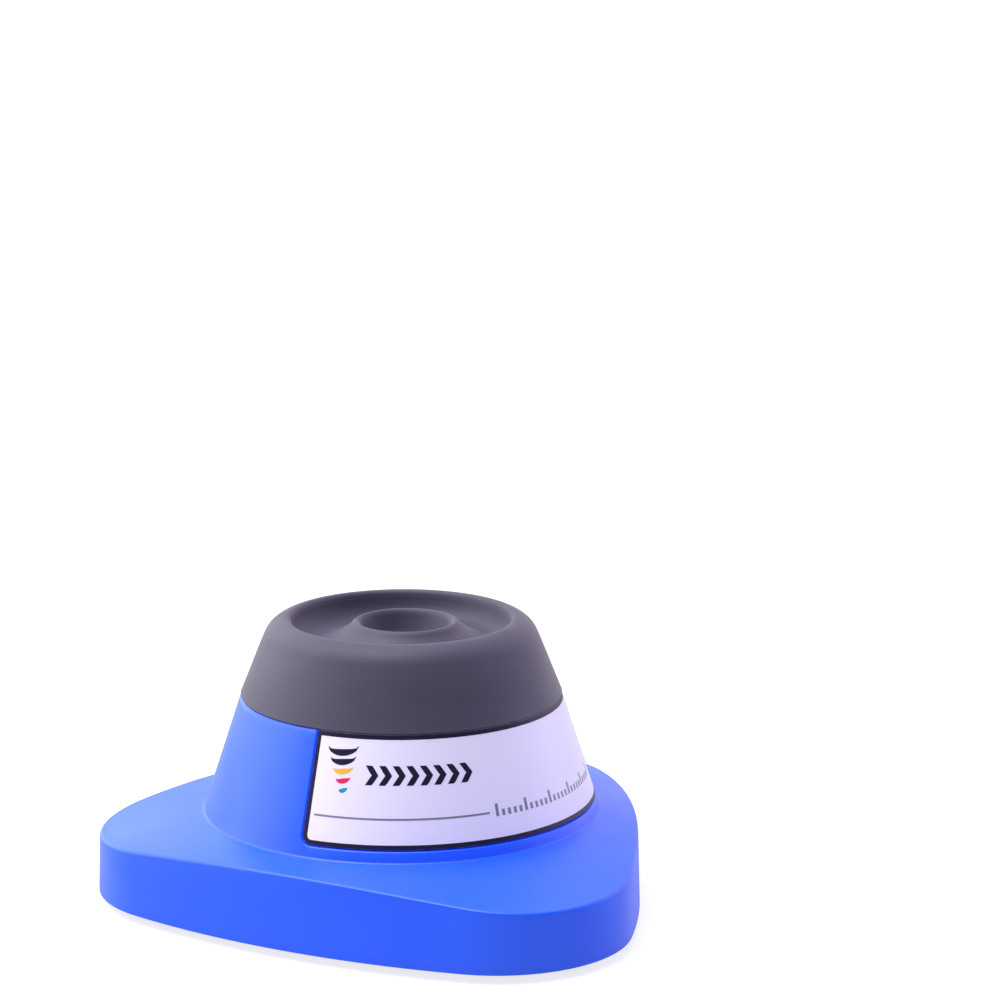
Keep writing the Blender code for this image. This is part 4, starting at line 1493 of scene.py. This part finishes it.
    def socket_cutters(self) -> list[bmesh.types.BMesh]:
        """Returns the cutters for the power socket's collar: the hole and its chamfered mouth."""
        face_y = node_box("dc_inlet")[1].y
        pin_low, pin_high = node_box("dc_pin")
        height = (pin_low.z + pin_high.z) / 2
        cutters = []
        hole, chamfer = (0.3, 0.3, -5, 4), (0.2, 1.4, -0.4, 0.8)
        for gap, mouth_gap, start, end in (tuple(c * MM for c in cut) for cut in (hole, chamfer)):
            place = Matrix.Translation((0, face_y + (start + end) / 2, height)) @ Matrix.Rotation(-math.pi / 2, 4, "X")
            radius, mouth_radius = self.collar_r + gap, self.collar_r + mouth_gap
            bm = bmesh.new()
            bmesh.ops.create_cone(
                bm, cap_ends=True, segments=64, radius1=radius, radius2=mouth_radius, depth=end - start, matrix=place
            )
            cutters.append(bm)
        return cutters

    def recessed(self, azimuths: Array, z: float) -> Array:
        """Returns the tapered body's radius all round at a height, sunk where the label sits."""
        radius = np.full_like(azimuths, self.cone_r(z))
        inside = self.seat.inside(azimuths, np.full_like(azimuths, z), radius) + self.seat.groove
        wall_run = 0.4 * MM
        share = np.clip(inside / wall_run + 0.5, 0, 1)
        return radius - self.seat.depth * share * share * (3 - 2 * share)

    def outer_rows(self, azimuths: Array) -> list[tuple[Array, Array]]:
        """Returns radii and heights of the rows from the neck's top down to the base's lower edge."""
        flat = np.ones_like(azimuths)
        neck_top_r = self.neck_foot_r - self.neck_taper * (self.neck_top_z - self.ledge_z)
        ledge_r = self.cone_r(self.ledge_z)
        rows = [(flat * (neck_top_r - 0.5 * MM), flat * self.neck_top_z)]
        rows.append((flat * neck_top_r, flat * (self.neck_top_z - 0.5 * MM)))
        rows.append((flat * self.neck_foot_r, flat * self.ledge_z))
        brink = np.minimum(flat * (ledge_r - 0.3 * MM), self.recessed(azimuths, self.ledge_z))
        rows.append((brink, flat * self.ledge_z))
        rows += [(self.recessed(azimuths, z), flat * z) for z in self.cone_heights()]
        foot_r, foot_z = self.cone_foot
        run = self.foot_r * math.tan((math.pi / 2 - math.atan(self.taper) + math.atan(self.slope)) / 2) * 0.9
        start = Vector((self.cone_r(foot_z + run), foot_z + run))
        end = Vector((foot_r + run, self.slope_z(foot_r + run)))
        for t in (i / 6 for i in range(7)):
            spot = start * (1 - t) ** 2 + 2 * t * (1 - t) * Vector((foot_r, foot_z)) + end * t * t
            rows.append((flat * spot[0], flat * spot[1]))
        edge_in = self.outline.radii(azimuths, self.draft + self.edge_r)
        for t in np.linspace(0.08, 1, 12):
            radii = end[0] + (edge_in - end[0]) * t
            rows.append((radii, self.slope_z(radii)))
        edge_z = self.slope_z(edge_in)
        for a in np.linspace(0, math.pi / 2, 7)[1:]:
            inset = self.draft + self.edge_r * (1 - math.sin(a))
            rows.append((self.outline.radii(azimuths, inset), edge_z - self.edge_r * (1 - math.cos(a))))
        low_z, low_r = self.foot_z, 0.35 * MM
        wall_top = edge_z - self.edge_r
        for t in np.linspace(0, 1, 7)[1:]:
            lowered = wall_top + (low_z + low_r - wall_top) * t
            rows.append((self.outline.radii(azimuths, self.draft * (1 - t)), lowered))
        for a in np.linspace(0, math.pi / 2, 5)[1:]:
            radii = self.outline.radii(azimuths, low_r * (1 - math.cos(a)))
            rows.append((radii, flat * (low_z + low_r * (1 - math.sin(a)))))
        return rows

    def inner_rows(self, azimuths: Array) -> list[tuple[Array, Array]]:
        """Returns radii and heights of the rows from the lower edge up the inside to the neck's top."""
        flat = np.ones_like(azimuths)
        inner = self.outline.radii(azimuths, self.wall)
        crease_r = self.cone_foot[0] - 1.82 * MM
        under_ledge = self.ledge_z - self.wall
        neck_r = self.neck_foot_r - self.wall
        rows = [(inner, flat * self.foot_z)]
        rows.append((inner, self.slope_z(inner) - self.wall))
        rows.append((flat * crease_r, flat * (self.slope_z(crease_r) - self.wall)))
        rows.append((flat * (self.cone_r(under_ledge) - self.wall), flat * under_ledge))
        rows.append((flat * neck_r, flat * under_ledge))
        rows.append((flat * neck_r, flat * self.ledge_z))
        rows.append((flat * (neck_r - self.neck_taper * (self.neck_top_z - self.ledge_z)), flat * self.neck_top_z))
        return rows


@dataclass(frozen=True)
class Whirl:
    """The printed mark of whirling liquid: a stack of tilted crescents. Lengths are in mm.

    Attributes:
        inks: each crescent's ink, from the top.
        middle: the top crescent's middle, from the label's left edge.
        level: its height above the label's lower edge.
        half: half its width.
        drift: how far right each next one lies.
        drop: how far down each next one lies.
        narrowing: how much each next one loses of its half width.
        thinning: share of its thickness that each next one loses.
        bow: how far a crescent sags, as a share of half its width.
        tilt: how far its right end is raised.
        tip: its thickness at both ends.
        belly: how much thicker it is in the middle.
    """

    inks: tuple[PrintedFilm, ...] = (INK_NAVY, INK_NAVY, INK_AMBER, INK_RED, INK_TEAL)
    middle: float = 6.9
    level: float = 20.6
    half: float = 3.7
    drift: float = 0.22
    drop: float = 2.15
    narrowing: float = 0.68
    thinning: float = 0.07
    bow: float = 0.32
    tilt: float = 0.25
    tip: float = 0.34
    belly: float = 1.05

    def crescent(self, index: int) -> Columns:
        """Returns the columns of one crescent, counted from the top."""
        half, middle = self.half - self.narrowing * index, self.middle + self.drift * index
        level = self.level - self.drop * index
        columns = []
        for u in np.linspace(-1, 1, 17):
            arch = max(1 - u * u, 0.0)
            spine = level - self.bow * half * math.sqrt(arch) + self.tilt * u
            thick = (self.tip + self.belly * arch) * (1.0 - self.thinning * index)
            columns.append((middle + half * u, spine - 0.5 * thick, spine + 0.5 * thick))
        return columns


@dataclass(frozen=True)
class Chevrons:
    """The printed row of bold arrowheads that points round the mixer. Lengths are in mm.

    Attributes:
        count: how many there are.
        left: the first one's left end, from the label's left edge.
        pitch: distance from one to the next.
        low: height of their lower ends above the label's lower edge.
        high: height of their upper ends.
        width: width of each.
        stroke: width of its strokes.
        nose: how far its outer edge runs before it turns upright.
        slope: rise of a stroke a unit of width.
        least: thickness at the ends of a stroke.
    """

    count: int = 8
    left: float = 12.6
    pitch: float = 3.05
    low: float = 13.1
    high: float = 17.1
    width: float = 2.9
    stroke: float = 1.55
    nose: float = 1.38
    slope: float = 1.45
    least: float = 0.02

    def strokes(self) -> list[Columns]:
        """Returns the columns of each stroke."""
        shapes = []
        for index in range(self.count):
            left = self.left + self.pitch * index
            for base, rise in ((self.low, 1.0), (self.high, -1.0)):
                columns = []
                for run in (step / 6 * self.width for step in range(7)):
                    inner = max(run - self.stroke, 0.0) * self.slope * rise
                    outer = min(run, self.nose) * self.slope * rise
                    low, high = min(base + inner, base + outer), max(base + inner, base + outer)
                    columns.append((left + run, low, high + self.least))
                shapes.append(columns)
        return shapes


@dataclass
class Label:
    """The printed film in the shell's recess, with a whirl, chevrons and a graduated scale.

    Attributes:
        shell: the shell that it sits on.
        sink: how far its face lies below the tapered body's surface.
        thickness: thickness of the film.
        border: width of the dark border.
        ink_top: how far ink stands above the film's face.
        ink_root: how far it reaches into the film.
        least_corner_r: the smallest radius of an inset outline's corners.
        rule: left end, right end, lower edge and upper edge of the thin rule, in mm.
        scale_start: the scale's first mark, in mm from the left edge and the lower edge.
    """

    shell: Shell
    sink: float = 0.12 * MM
    thickness: float = 0.45 * MM
    border: float = 0.95 * MM
    ink_top: float = 0.03 * MM
    ink_root: float = 0.02 * MM
    least_corner_r: float = 0.4 * MM
    rule: tuple[float, float, float, float] = (1.9, 39.6, 6.0, 6.4)
    scale_start: Point2 = (41.4, 5.3)

    def wrap(self, s: float, t: float, lift: float) -> Point3:
        """Returns the place of a point of the artwork.

        Args:
            s: distance round the label from its middle, measured at mid height.
            t: height above the label's lower edge.
            lift: height above the film's face.
        """
        seat = self.shell.seat
        z = seat.bottom_z + t
        azimuth = math.radians(seat.centre_deg) + s / self.mid_r()
        return polar(self.shell.cone_r(z) - self.sink + lift, azimuth, z)

    def mid_r(self) -> float:
        """Returns the tapered body's radius at the label's mid height."""
        seat = self.shell.seat
        return self.shell.cone_r((seat.bottom_z + seat.top_z) / 2)

    def half_width(self) -> float:
        """Returns half the label's width, measured at mid height."""
        return math.radians(self.shell.seat.half_span_deg) * self.mid_r()

    def outline(self, inset: float) -> Columns:
        """Returns the label's columns as (s, lowest t, highest t), with round lower corners.

        Args:
            inset: how far the outline is moved inwards.
        """
        seat = self.shell.seat
        half, height = self.half_width() - inset, seat.top_z - seat.bottom_z
        radius = max(seat.corner_r - inset, self.least_corner_r)
        columns = []
        corner = [half - radius + radius * math.sin(a) for a in np.linspace(0, math.pi / 2, 14)]
        middle = list(np.linspace(-(half - radius), half - radius, 120))[1:-1]
        for s in [*[-c for c in reversed(corner)], *middle, *corner]:
            over = max(abs(s) - (half - radius), 0.0)
            floor = inset + radius - math.sqrt(max(radius**2 - over**2, 0.0))
            columns.append((s, floor, height - inset))
        return columns

    def strip(
        self, name: str, columns: Columns, low: float, high: float, finish: Finish, rows: int = 6
    ) -> Piece:
        """Returns a closed plate made from columns of the artwork.

        Args:
            name: the piece's name.
            columns: (s, lowest t, highest t) of each column.
            low: lift of its back.
            high: lift of its face.
            finish: its film or ink.
            rows: steps from the bottom to the top.
        """
        points = []
        for lift in (high, low):
            for i in range(rows + 1):
                for s, floor, top in columns:
                    points.append(self.wrap(s, floor + (top - floor) * i / rows, lift))
        count, per = len(columns), (rows + 1) * len(columns)
        faces = grid_faces(rows + 1, count, False, False)
        faces += [tuple(index + per for index in face) for face in grid_faces(rows + 1, count, False, False)]
        rim = list(range(count)) + [i * count + count - 1 for i in range(1, rows + 1)]
        rim += [rows * count + j for j in range(count - 2, -1, -1)] + [i * count for i in range(rows - 1, 0, -1)]
        for a, b in zip(rim, rim[1:] + rim[:1], strict=True):
            faces.append((a, b, b + per, a + per))
        return new_object(name, mesh_of(name, points, faces, 40), finish)

    def build(self) -> None:
        """Builds the film, its border and its artwork, all riding on the base."""
        film = self.strip("label_film", self.outline(0.0), -self.thickness, 0.0, LABEL_WHITE)
        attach(film, Body.BASE.value)
        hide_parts("label")
        run, height = self.scale_start
        scale = scale_tree(self).grow("label_scale", [(self.from_left(run), height * MM, 0.0)])
        for piece in (self.build_border(), *self.build_whirl(), self.build_chevrons(), self.build_rule(), scale):
            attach(piece, Body.BASE.value)

    def from_left(self, run: float) -> float:
        """Returns the artwork's s at a distance in mm from the label's left edge."""
        return run * MM - self.half_width()

    def ink(self, name: str, shapes: Sequence[Columns], finish: Finish) -> Piece:
        """Prints shapes as thin bodies of ink.

        Args:
            name: the piece's name.
            shapes: each shape's columns, as (mm from the left edge, lowest t in mm, highest t in mm).
            finish: the ink.

        Returns:
            One piece of all the shapes.
        """
        piece: Piece | None = None
        for shape in shapes:
            columns = [(self.from_left(run), low * MM, high * MM) for run, low, high in shape]
            part = self.strip(name, columns, -self.ink_root, self.ink_top, finish, rows=2)
            piece = part if piece is None else join(piece, part)
        piece.name = name
        return piece

    def build_whirl(self) -> list[Piece]:
        """Returns the whirl, one piece for each ink."""
        whirl = Whirl()
        stack: dict[PrintedFilm, list[Columns]] = {}
        for index, ink in enumerate(whirl.inks):
            stack.setdefault(ink, []).append(whirl.crescent(index))
        return [self.ink(f"label_whirl_{ink.name}", shapes, ink) for ink, shapes in stack.items()]

    def build_chevrons(self) -> Piece:
        """Returns the row of chevrons."""
        return self.ink("label_chevrons", Chevrons().strokes(), INK_NAVY)

    def build_rule(self) -> Piece:
        """Returns the thin line that leads to the scale."""
        left, right, low, high = self.rule
        return self.ink("label_rule", [[(run, low, high) for run in np.linspace(left, right, 60)]], INK_GREY)

    def build_border(self) -> Piece:
        """Returns the dark printed border."""
        rim_out = self.loop(self.outline(0.02 * MM))
        rim_in = self.loop(self.outline(self.border))
        count = len(rim_out)
        points = []
        for lift in (self.ink_top, -self.ink_root):
            points += [self.wrap(s, t, lift) for s, t in rim_out]
            points += [self.wrap(s, t, lift) for s, t in rim_in]
        faces = []
        for j in range(count):
            k = (j + 1) % count
            out_low, in_low = 2 * count, 3 * count
            faces.append((j, k, count + k, count + j))
            faces.append((out_low + j, out_low + k, in_low + k, in_low + j))
            faces.append((j, k, out_low + k, out_low + j))
            faces.append((count + j, count + k, in_low + k, in_low + j))
        return new_object("label_border", mesh_of("label_border", points, faces, 40), INK_NAVY)

    @staticmethod
    def loop(columns: Columns, rows: int = 12) -> list[Point2]:
        """Returns the outline of columns as one loop of (s, t) points.

        Args:
            columns: (s, lowest t, highest t) of each column.
            rows: steps up each side.
        """
        bottom = [(s, floor) for s, floor, _ in columns]
        right_s, right_floor, top = columns[-1]
        left_s, left_floor, _ = columns[0]
        right = [(right_s, right_floor + (top - right_floor) * i / rows) for i in range(1, rows)]
        upper = [(s, top) for s, _, top in reversed(columns)]
        left = [(left_s, top + (left_floor - top) * i / rows) for i in range(1, rows)]
        return bottom + right + upper + left


# Rubber boot --------------------


def smooth_profile(knots: Sequence[Point2], per_span: int = 4) -> list[Vector]:
    """Returns points on a smooth curve through a profile's (radius, height) knots in mm."""
    flat = [(r * MM, z * MM, 0.0) for r, z in knots]
    return [Vector(point[:2]) for point in spline_through(flat, per_span)]


def beside(curve: Sequence[Vector], distance: float) -> list[Vector]:
    """Returns a curve moved sideways, towards its right as it runs.

    Args:
        curve: its points.
        distance: how far it's moved.
    """
    moved = []
    for before, here, after in zip([curve[0], *curve], curve, [*curve[1:], curve[-1]], strict=False):
        run = (after - before).normalized()
        moved.append(here + distance * Vector((run.y, -run.x)))
    return moved


@dataclass
class RubberBoot:
    """The silicone boot: one skin that stands still at its skirt and circles at its cup.

    The skin is cut into four rings, of which the skirt rides the base and the cup rides the circling cup.
    Each ring's edge lies over a tuck of the next one, so no cut shows.

    Attributes:
        skirt: knots of the skirt, rim and upper trough wall, from the foot inwards, in mm.
        trough: knots of the trough wall down to its floor.
        flank: knots of the cup's flank from the floor up, from the axis of the cup.
        cup: knots of the lip and crater, from the axis of the cup.
        bead: outline of the bead round the skirt's foot, in mm.
        rim_back: knots of the hidden back of the rim, in mm.
        sleeve: outline of the cup's back and of the sleeve that grips the bearing's carrier, in mm.
        tuck: how far a ring runs on under its neighbour, in knots of the neighbour.
        step: how deep the tuck lies.
        trough_wall: thickness of the skin at the trough's wall.
        flank_wall: the same at the cup's flank.
        trough_bend: two heights on the trough's wall; not used.
        flank_twist: two heights on the flank; not used.
        lean_radii: radii between which the flank moves over to the cup's axis.
        flank_rows: rows of faces between two knots of the flank.
        segments: steps round the axis.
        sharp_deg: edges over this angle stay sharp.
    """

    skirt: tuple[Point2, ...] = (
        (35.95, 47.5), (34.05, 52.2), (32.2, 56.9), (30.75, 60.4), (30.1, 61.7), (29.25, 62.75), (28.15, 63.6),
        (26.95, 64.2), (25.9, 64.45), (25.2, 64.35), (24.75, 63.9), (24.5, 63.2),
    )
    trough: tuple[Point2, ...] = (
        (24.5, 63.2), (24.25, 62.2), (23.8, 61.0), (23.1, 59.95), (22.2, 59.2), (21.2, 58.85),
    )
    flank: tuple[Point2, ...] = (
        (21.2, 58.85), (20.0, 58.85), (18.6, 59.2), (17.0, 59.95), (15.4, 60.85), (14.0, 61.75),
    )
    cup: tuple[Point2, ...] = (
        (14.0, 61.75), (13.2, 62.3), (12.5, 62.9), (11.9, 63.55), (11.3, 63.95), (10.7, 63.9), (10.1, 63.15),
        (9.35, 61.3), (8.3, 59.1), (6.8, 57.35), (4.6, 56.2), (2.4, 55.65), (0.0, 55.5),
    )
    bead: tuple[Point2, ...] = (
        (33.9, 47.06), (35.75, 47.06), (35.95, 47.1), (36.03, 47.2), (36.02, 47.34), (35.95, 47.46),
    )
    rim_back: tuple[Point2, ...] = ((24.9, 63.05), (25.8, 62.7), (26.8, 61.9), (28.2, 60.8))
    sleeve: tuple[Point2, ...] = (
        (0, 53.2), (12.75, 53.2), (12.75, 46.3), (12.95, 46.0), (14.3, 46.0), (14.6, 46.3), (14.6, 55.2),
        (13.4, 57.5), (12.6, 60.2), (13.0, 61.3),
    )
    tuck: int = 1
    step: float = 0.06 * MM
    trough_wall: float = 1.7 * MM
    flank_wall: float = 1.5 * MM
    trough_bend: Point2 = (63.3 * MM, 59.2 * MM)
    flank_twist: Point2 = (60.15 * MM, 61.75 * MM)
    lean_radii: Point2 = (21.0 * MM, 16.6 * MM)
    flank_rows: int = 12
    segments: int = 144
    sharp_deg: float = 60.0

    def build(self) -> None:
        """Builds the four rings; the skirt rides the base, the cup rides the circling cup, and the trough wall and
        flank stay where they are built.
        """
        ring = self.build_skirt()
        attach(ring, Body.BASE.value)
        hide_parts("boot_skirt")
        outside, inside = self.skirt[-1 - self.tuck : -1], self.cup[1 : 1 + self.tuck]
        wall = self.ring("boot_trough_wall", self.trough, outside, (), self.trough_wall)
        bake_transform(wall)
        beyond = self.trough[-1 - self.tuck : -1]
        flank = self.ring("boot_flank", self.flank, beyond, inside, self.flank_wall, self.flank_rows)
        self.lean(flank.data)
        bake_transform(flank)
        cup = self.build_cup()
        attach(cup, Body.CUP.value)
        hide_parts("cup_head")

    def ring(
        self,
        name: str,
        main: Sequence[Point2],
        before: Sequence[Point2],
        after: Sequence[Point2],
        wall: float,
        rows: int = 4,
    ) -> Piece:
        """Returns one ring of skin with its tucks.

        Args:
            name: the piece's name.
            main: the knots that show.
            before: the neighbour's knots that it runs on under, ahead of its first one.
            after: the same, past its last one.
            wall: thickness of the skin.
            rows: rows of faces between two knots.
        """
        curve = smooth_profile([*before, *main, *after], rows)
        lead, tail = rows * len(before), rows * len(after)
        sunk = beside(curve, -self.step)
        face = [*sunk[:lead], *curve[lead : len(curve) - tail], *sunk[len(curve) - tail :]]
        back = beside(curve, -wall)
        return self.turned(name, [*face, *reversed(back)])

    def turned(self, name: str, profile: Sequence[Vector], centre: Vector = MOTOR_AXIS) -> Piece:
        """Returns a closed profile turned in the boot's rubber about the vertical axis at centre."""
        return lathe(name, [tuple(p) for p in profile], BOOT_RUBBER, centre, self.segments, self.sharp_deg)

    def build_skirt(self) -> Piece:
        """Returns the skirt with its rim and the thin bead round its foot."""
        foot, back = ([(r * MM, z * MM) for r, z in knots] for knots in (self.bead, self.rim_back))
        return self.turned("boot_skirt_skin", [*foot, *smooth_profile(self.skirt)[1:], *back])

    def build_cup(self) -> Piece:
        """Returns the cup: lip, crater and the sleeve that grips the bearing's carrier."""
        back = [(r * MM, z * MM) for r, z in self.sleeve]
        return self.turned("boot_cup", [*smooth_profile(self.cup), *back], PIN_AXIS)

    def lean(self, mesh: Mesh) -> None:
        """Moves the flank's inner rings over to the cup's axis.

        Args:
            mesh: the flank, made about the motor's axis.
        """
        outer, inner = self.lean_radii
        for vertex in mesh.vertices:
            radius = (vertex.co.xy - MOTOR_AXIS).length
            share = min(max((outer - radius) / (outer - inner), 0.0), 1.0)
            vertex.co.xy += (PIN_AXIS - MOTOR_AXIS) * share * share * (3 - 2 * share)


# Screws, feet, springs, leads and the board's small parts --------------------


def thread(radius: float, start: float, end: float, pitch: float = 0.5, depth: float = 0.16) -> list[Point2]:
    """Returns the zigzag outline of a thread, in millimetres.

    Args:
        radius: its outer radius.
        start: the height at which it starts.
        end: the height at which it ends.
        pitch: distance between two crests.
        depth: how deep it's cut.
    """
    steps = max(round(abs(end - start) / pitch), 1)
    levels = [start + (end - start) * i / steps for i in range(steps + 1)]
    outline: list[Point2] = []
    for low, high in zip(levels, levels[1:], strict=False):
        outline += [(radius - depth, low), (radius, (low + high) / 2)]
    return [*outline, (radius - depth, end)]


@dataclass(frozen=True)
class Fastener:
    """A screw with a cross recess, or any other small turned part, drawn on the origin's axis.

    Attributes:
        name: what the set of copies is called.
        profile: (radius, height) in millimetres above the part's lowest point.
        finish: what it's made of.
        nodes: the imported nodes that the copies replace.
        body: the body that they ride.
        recess: height of the recess's mouth and the height that it reaches to, in millimetres.
        across: length of the recess's slots in millimetres.
        slot: their width in millimetres.
        seed: fixes how far each copy is turned.
    """

    name: str
    profile: Sequence[Point2]
    finish: Finish
    nodes: Sequence[str]
    body: Body
    recess: tuple[float, float] | None = None
    across: float = 2.6
    slot: float = 0.55
    seed: int = 1

    def pattern(self) -> Piece:
        """Returns one part on the origin's axis."""
        outline = [(r * MM, z * MM) for r, z in self.profile]
        part = lathe(f"{self.name}_pattern", outline, self.finish, Vector((0, 0)), 40, 30)
        if self.recess is None:
            return part
        mouth, bottom = (height * MM for height in self.recess)
        over = math.copysign(0.5 * MM, mouth - bottom)
        for turn in (0.0, math.pi / 2):
            bm = bmesh.new()
            place = Matrix.Rotation(turn, 4, "Z") @ Matrix.Translation((0, 0, (mouth + over + bottom) / 2))
            size = Matrix.Diagonal((self.across * MM, self.slot * MM, abs(mouth + over - bottom), 1))
            bmesh.ops.create_cube(bm, size=1, matrix=place @ size)
            carve(part, bm)
        return part

    def build(self) -> None:
        """Sets a copy at each node's place."""
        pattern = self.pattern()
        places = [(*centre_of(node), node_box(node)[0].z) for node in self.nodes]
        most = math.pi if self.recess else 0.0
        tree = screw_tree(self.name, pattern, self.finish, self.seed)
        made = tree.grow(self.name, places, 30, Most_Turn=most)
        bpy.data.objects.remove(pattern, do_unlink=True)
        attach(made, self.body.value)
        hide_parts(*self.nodes)


FASTENERS = (
    Fastener(
        "base_screws",
        [
            (0, 10.9), (0.5, 10.7), *thread(1.4, 10.0, 1.6), (1.4, 1.0), (2.85, 1.0), (3.0, 0.85), (3.0, 0.45),
            (2.75, 0.15), (2.3, 0.0), (0, 0.0),
        ],
        ZINC, SCREW_NODES, Body.BASE, recess=(0.0, 1.5), across=3.0, seed=3,
    ),
    Fastener(
        "board_screws",
        [(0, 3.2), (1.5, 3.2), (2.2, 2.95), (2.6, 2.4), (2.6, 1.7), (1.3, 1.7), *thread(1.3, 1.4, 0.2), (0, 0.0)],
        ZINC, ("board_screw_left", "board_screw_right"), Body.BASE, recess=(3.2, 2.2), seed=5,
    ),
    Fastener(
        "motor_screws",
        [(0, 3.8), (2.0, 3.8), (2.1, 3.7), (2.1, 3.5), (1.1, 2.5), *thread(1.1, 2.3, 0.2, 0.4, 0.12), (0, 0.0)],
        ZINC, ("motor_screw_left", "motor_screw_right"), Body.CARRIAGE, recess=(3.8, 2.8), across=2.2, seed=8,
    ),
    Fastener(
        "pin_screw_turned",
        [
            (0, 7.8), (1.7, 7.8), (2.3, 7.6), (2.6, 7.15), (2.6, 6.6), (1.2, 6.6), (1.2, 5.8),
            *thread(1.2, 5.6, 0.2, 0.5, 0.14), (0, 0.0),
        ],
        STEEL, ("pin_screw",), Body.ROTOR, recess=(7.8, 6.9), seed=11,
    ),
    Fastener(
        "rubber_feet",
        [
            (0, 3.0), (7.1, 3.0), (7.4, 2.8), (7.5, 2.5), (7.3, 0.5), (7.1, 0.15), (6.7, 0.0), (5.6, 0.0), (5.45, 0.35),
            (5.05, 0.35), (4.9, 0.0), (3.4, 0.0), (3.25, 0.35), (2.85, 0.35), (2.7, 0.0), (0, 0.0),
        ],
        FOOT_RUBBER, FOOT_NODES, Body.BASE,
    ),
)


@dataclass(frozen=True)
class ReturnSprings:
    """The three springs round the guide posts.

    Attributes:
        wire_r: radius of the wire.
        coil_r: radius of the line that it follows.
        turns: how many turns each has.
    """

    wire_r: float = 0.45 * MM
    coil_r: float = 3.55 * MM
    turns: int = 7

    def build(self) -> None:
        """Winds the springs."""
        low, high = node_box(SPRING_NODES[0])
        start, end = low.z + self.wire_r, high.z - self.wire_r
        posts = [centre_of(name.replace("spring", "guide_post")) for name in SPRING_NODES]
        springs = spring_tree().grow(
            "return_springs", [(*post, start) for post in posts],
            Height=end - start, Coil_Radius=self.coil_r, Wire_Radius=self.wire_r, Turns=self.turns,
        )
        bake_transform(springs)
        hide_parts(*SPRING_NODES)


@dataclass(frozen=True)
class MotorLead:
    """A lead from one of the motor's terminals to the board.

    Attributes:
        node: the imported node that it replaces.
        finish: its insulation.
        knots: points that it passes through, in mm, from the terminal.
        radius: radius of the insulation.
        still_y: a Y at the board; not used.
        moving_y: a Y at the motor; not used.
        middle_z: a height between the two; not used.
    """

    node: str
    finish: Finish
    knots: Sequence[Point3]
    radius: float = 0.6 * MM
    still_y: float = 28.5 * MM
    moving_y: float = 16.5 * MM
    middle_z: float = 10.0 * MM

    def build(self) -> None:
        """Makes the lead along its knots."""
        path = spline_through([tuple(c * MM for c in knot) for knot in self.knots], 8)
        lead = tube(f"{self.node}_insulated", path, self.radius, self.finish, 14)
        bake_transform(lead)
        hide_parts(self.node)


MOTOR_LEADS = (
    MotorLead(
        "lead_red", RED_PLASTIC,
        (
            (12.5, 15.2, 9.5), (14.8, 17.2, 9.6), (15.4, 22.0, 11.4), (13.4, 26.6, 13.4), (11.5, 29.0, 12.6),
            (11.5, 29.0, 11.2),
        ),
    ),
    MotorLead(
        "lead_black", LEAD_BLACK,
        (
            (-12.5, 15.2, 9.5), (-14.8, 17.2, 9.6), (-15.2, 22.0, 11.0), (-13.4, 26.6, 11.4), (-12.5, 29.0, 9.6),
            (-12.5, 29.2, 7.2),
        ),
    ),
)


@dataclass(frozen=True)
class BoardDetails:
    """The chip's legs and the solder joints on both faces of the board.

    Attributes:
        joint_grids: the joints' X places and Y places in mm, for each group.
        under_r: radius of the joints on the lower face.
    """

    joint_grids: tuple[tuple[tuple[float, ...], tuple[float, ...]], ...] = (
        ((-3.5, 0.0, 3.5), (31.0, 45.5)),
        ((-12.5, 12.5), (43.0, 47.0, 50.0)),
    )
    under_r: float = 1.0 * MM

    def build(self) -> None:
        """Builds the legs and the joints, all riding on the base."""
        low, high = node_box("circuit_board")
        spots = [(x * MM, y * MM) for xs, ys in self.joint_grids for x in xs for y in ys]
        legs = lead_tree().grow("driver_chip_legs", [(*centre_of("driver_chip"), high.z)])
        top = dome_tree("solder_joints", STEEL).grow("solder_joints_top", [(*spot, high.z) for spot in spots])
        bottom = dome_tree("solder_joints_below", STEEL).grow(
            "solder_joints_below", [(*spot, low.z) for spot in spots], Radius=self.under_r
        )
        for piece in (legs, top, bottom):
            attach(piece, Body.BASE.value)


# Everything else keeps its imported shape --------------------


def dress_packed_nodes() -> None:
    """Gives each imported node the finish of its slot."""
    for part in frame["record"]["subparts"]:
        SLOT_FINISHES[part["material_slot"]].dress(frame["nodes"][part["node"]])


def write_sizes() -> None:
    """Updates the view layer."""
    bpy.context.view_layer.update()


def main() -> None:
    """Builds the studio and then the mixer, outside first, and reports each piece."""
    logging.basicConfig(level=logging.INFO, format="%(name)s: %(message)s")
    shell = Shell()
    stages = {
        "studio": Studio().build,
        "packed nodes": dress_packed_nodes,
        "shell": shell.build,
        "label": Label(shell).build,
        "boot": RubberBoot().build,
        **{fastener.name: fastener.build for fastener in FASTENERS},
        "springs": ReturnSprings().build,
        **{lead.node: lead.build for lead in MOTOR_LEADS},
        "board details": BoardDetails().build,
    }
    for stage, build in stages.items():
        known = {obj.name for obj in bpy.data.objects}
        build()
        made = sorted(obj.name for obj in bpy.data.objects if obj.name not in known)
        LOG.info("%s: %s", stage, ", ".join(made) or "done")
    write_sizes()


if __name__ == "__main__":
    main()
